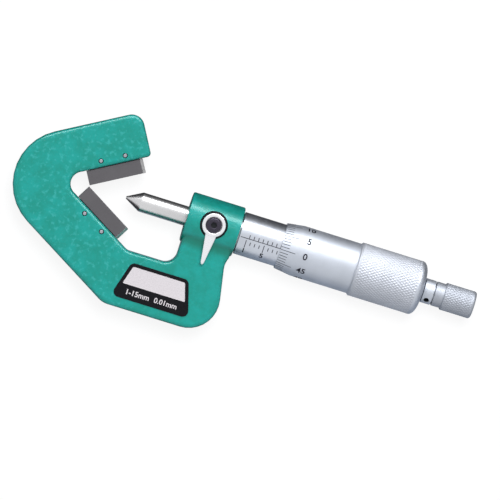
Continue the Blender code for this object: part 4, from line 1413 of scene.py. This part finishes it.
@dataclass(frozen=True)
class Lamp:
    """Soft lamp that faces the work and isn't seen itself, in metres and watts."""

    name: str
    place: tuple[float, float, float]
    size: Range
    power: float
    diffuse: bool = True
    glossy: bool = True

    def hang(self) -> None:
        """Make the lamp, with its width level."""
        data = bpy.data.lights.new(self.name, "AREA")
        data.shape = "RECTANGLE"
        data.size, data.size_y = self.size
        data.energy = self.power
        holder = bpy.data.objects.new(self.name, data)
        holder.visible_camera = False
        holder.visible_diffuse = self.diffuse
        holder.visible_glossy = self.glossy
        bpy.context.scene.collection.objects.link(holder)
        back = Vector(self.place).normalized()
        holder.matrix_world = facing(Vector(self.place), back, back.cross(Vector((1, 0, 0))))


@dataclass
class Studio:
    """Pale floor, soft lamps, dark cards beside the work, and the camera."""

    roll: float = math.radians(17.37)
    target: tuple[float, float, float] = (2.85, -0.18, 8.85)
    view_width: float = 160.3
    distance: float = 1500.0
    clip: Range = (0.01, 20.0)
    lean: Range = (-0.045, 0.02)
    sensor: float = 36.0
    floor_half: float = 3000.0
    floor_colour: Colour = (0.14, 0.14, 0.145)
    floor_glow: float = 0.9
    sky: Range = (0.06, 0.25)
    lamps: tuple[Lamp, ...] = (
        Lamp("overhead_softbox", (0.0, 0.65, 1.93), (0.8, 0.8), 31.0, glossy=False),
        Lamp("side_softbox", (-0.05, 0.42, 0.34), (0.75, 0.2), 4.2, diffuse=False),
    )
    card_half: float = 400.0
    card_reach: float = 300.0
    card_lift: float = 0.02
    cards: tuple[tuple[str, int, Colour, float], ...] = (
        ("upper_card", 1, (0.02, 0.02, 0.022), 60.0),
        ("lower_card", -1, (0.37, 0.42, 0.5), 1.0),
    )

    def build(self, axis: Axis) -> None:
        """Set the stage about the spindle's axis."""
        self.floor()
        self.world()
        for lamp in self.lamps:
            lamp.hang()
        for card in self.cards:
            self.card(axis, *card)
        self.camera()
        bpy.context.scene.view_settings.view_transform = "Standard"

    def floor(self) -> None:
        """White floor that keeps a faint shadow."""
        nodes = Nodes("studio_floor")
        nodes.tree.nodes.remove(nodes.shader)
        diffuse = nodes.add("ShaderNodeBsdfDiffuse", {"Color": self.floor_colour})
        glow = nodes.add("ShaderNodeEmission", {
            "Color": (1, 1, 1), "Strength": nodes.math("MULTIPLY", nodes.seen(), self.floor_glow),
        })
        both = nodes.add("ShaderNodeAddShader", {0: diffuse.outputs[0], 1: glow.outputs[0]})
        nodes.set(nodes.tree.nodes["Material Output"].inputs["Surface"], both.outputs[0])
        edge = np.array([-self.floor_half, self.floor_half])
        x, y = np.meshgrid(edge, edge, indexing="ij")
        surface = Surface().grid(np.stack([x, y, np.zeros_like(x)], axis=-1), wrap_columns=False)
        floor = surface.piece("studio_floor")
        floor.data.materials.append(nodes.made)

    def world(self) -> None:
        """White surroundings to the camera and to reflections, softer as light."""
        nodes = Nodes("studio_world", world=True)
        bpy.context.scene.world = nodes.made
        height = nodes.add("ShaderNodeSeparateXYZ", {0: nodes.places["Generated"]}).outputs["Z"]
        sky = nodes.add("ShaderNodeMapRange", {
            "Value": height, "To Min": self.sky[0], "To Max": self.sky[1],
        })
        level = nodes.add("ShaderNodeMapRange", {
            "Value": nodes.seen(), "To Min": sky.outputs[0], "To Max": 1.0,
        })
        nodes.finish(Color=(1, 1, 1), Strength=level.outputs[0])

    def card(self, axis: Axis, name: str, side: int, colour: Colour, rise: float) -> None:
        """Card low beside the work, seen only in the metal, that shades its edges.

        It lies on the floor from under the axis outwards and turns up at its far side.

        Args:
            axis: the spindle's axis.
            name: the card's name.
            side: 1 towards the upper jaw, -1 towards the lower.
            colour: the card's colour.
            rise: height that it turns up to.
        """
        reach = side * self.card_reach
        x = np.array([-self.card_half, self.card_half])[:, None]
        y = np.array([axis.y, reach, reach])[None, :]
        z = np.array([self.card_lift, self.card_lift, rise])[None, :]
        grid = np.stack(np.broadcast_arrays(x, y, z), axis=-1)
        piece = Surface().grid(grid, wrap_columns=False).piece(name)
        piece.data.materials.append(Nodes(name).finish(Base_Color=colour, Roughness=1.0))
        piece.visible_camera = False
        piece.visible_diffuse = False
        piece.visible_shadow = False
        piece.visible_transmission = False

    def camera(self) -> None:
        """Look straight down with a long lens, rolled as in the photograph."""
        data = bpy.data.cameras.new("camera")
        data.sensor_width = self.sensor
        data.lens = self.sensor * self.distance / self.view_width
        data.clip_start, data.clip_end = self.clip
        holder = bpy.data.objects.new("camera", data)
        bpy.context.scene.collection.objects.link(holder)
        back = Vector((*self.lean, 1.0)).normalized()
        up = Vector((-math.sin(self.roll), math.cos(self.roll), 0))
        holder.matrix_world = facing((Vector(self.target) + back * self.distance) * MM, back, up)
        bpy.context.scene.camera = holder


def spindle_axis() -> Axis:
    """Axis of the turned pieces, across from the sleeve's box and up from the spindle's."""
    low, high = box_of("spindle")
    sleeve_low, sleeve_high = box_of("outer_sleeve")
    return Axis((sleeve_low[1] + sleeve_high[1]) / 2, (low[2] + high[2]) / 2)


def main() -> None:
    """Load the frame, build each sub-assembly in order, and set the stage."""
    logging.basicConfig(level=logging.INFO, format="%(name)s: %(message)s")
    for old in list(bpy.data.objects):
        bpy.data.objects.remove(old, do_unlink=True)
    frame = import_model()
    axis = spindle_axis()
    Casting().build(frame, axis)
    Jaw("upper_anvil", 1, Finish.UPPER_ANVIL).build(axis)
    Jaw("lower_anvil", -1, Finish.LOWER_ANVIL).build(axis)
    RangePlate().build()
    Spindle().build(axis)
    ScaleSleeve().build(axis)
    Thimble().build(axis)
    Ratchet().build_neck(axis)
    Ratchet().build_knob(axis)
    Lock().build(axis)
    dress(frame, "ratchet_disc", "ratchet_spring", "ratchet_screw", "lock_stud", "lock_pad",
          "inner_sleeve", "adjusting_nut")
    Studio().build(axis)


if __name__ == "__main__":
    main()
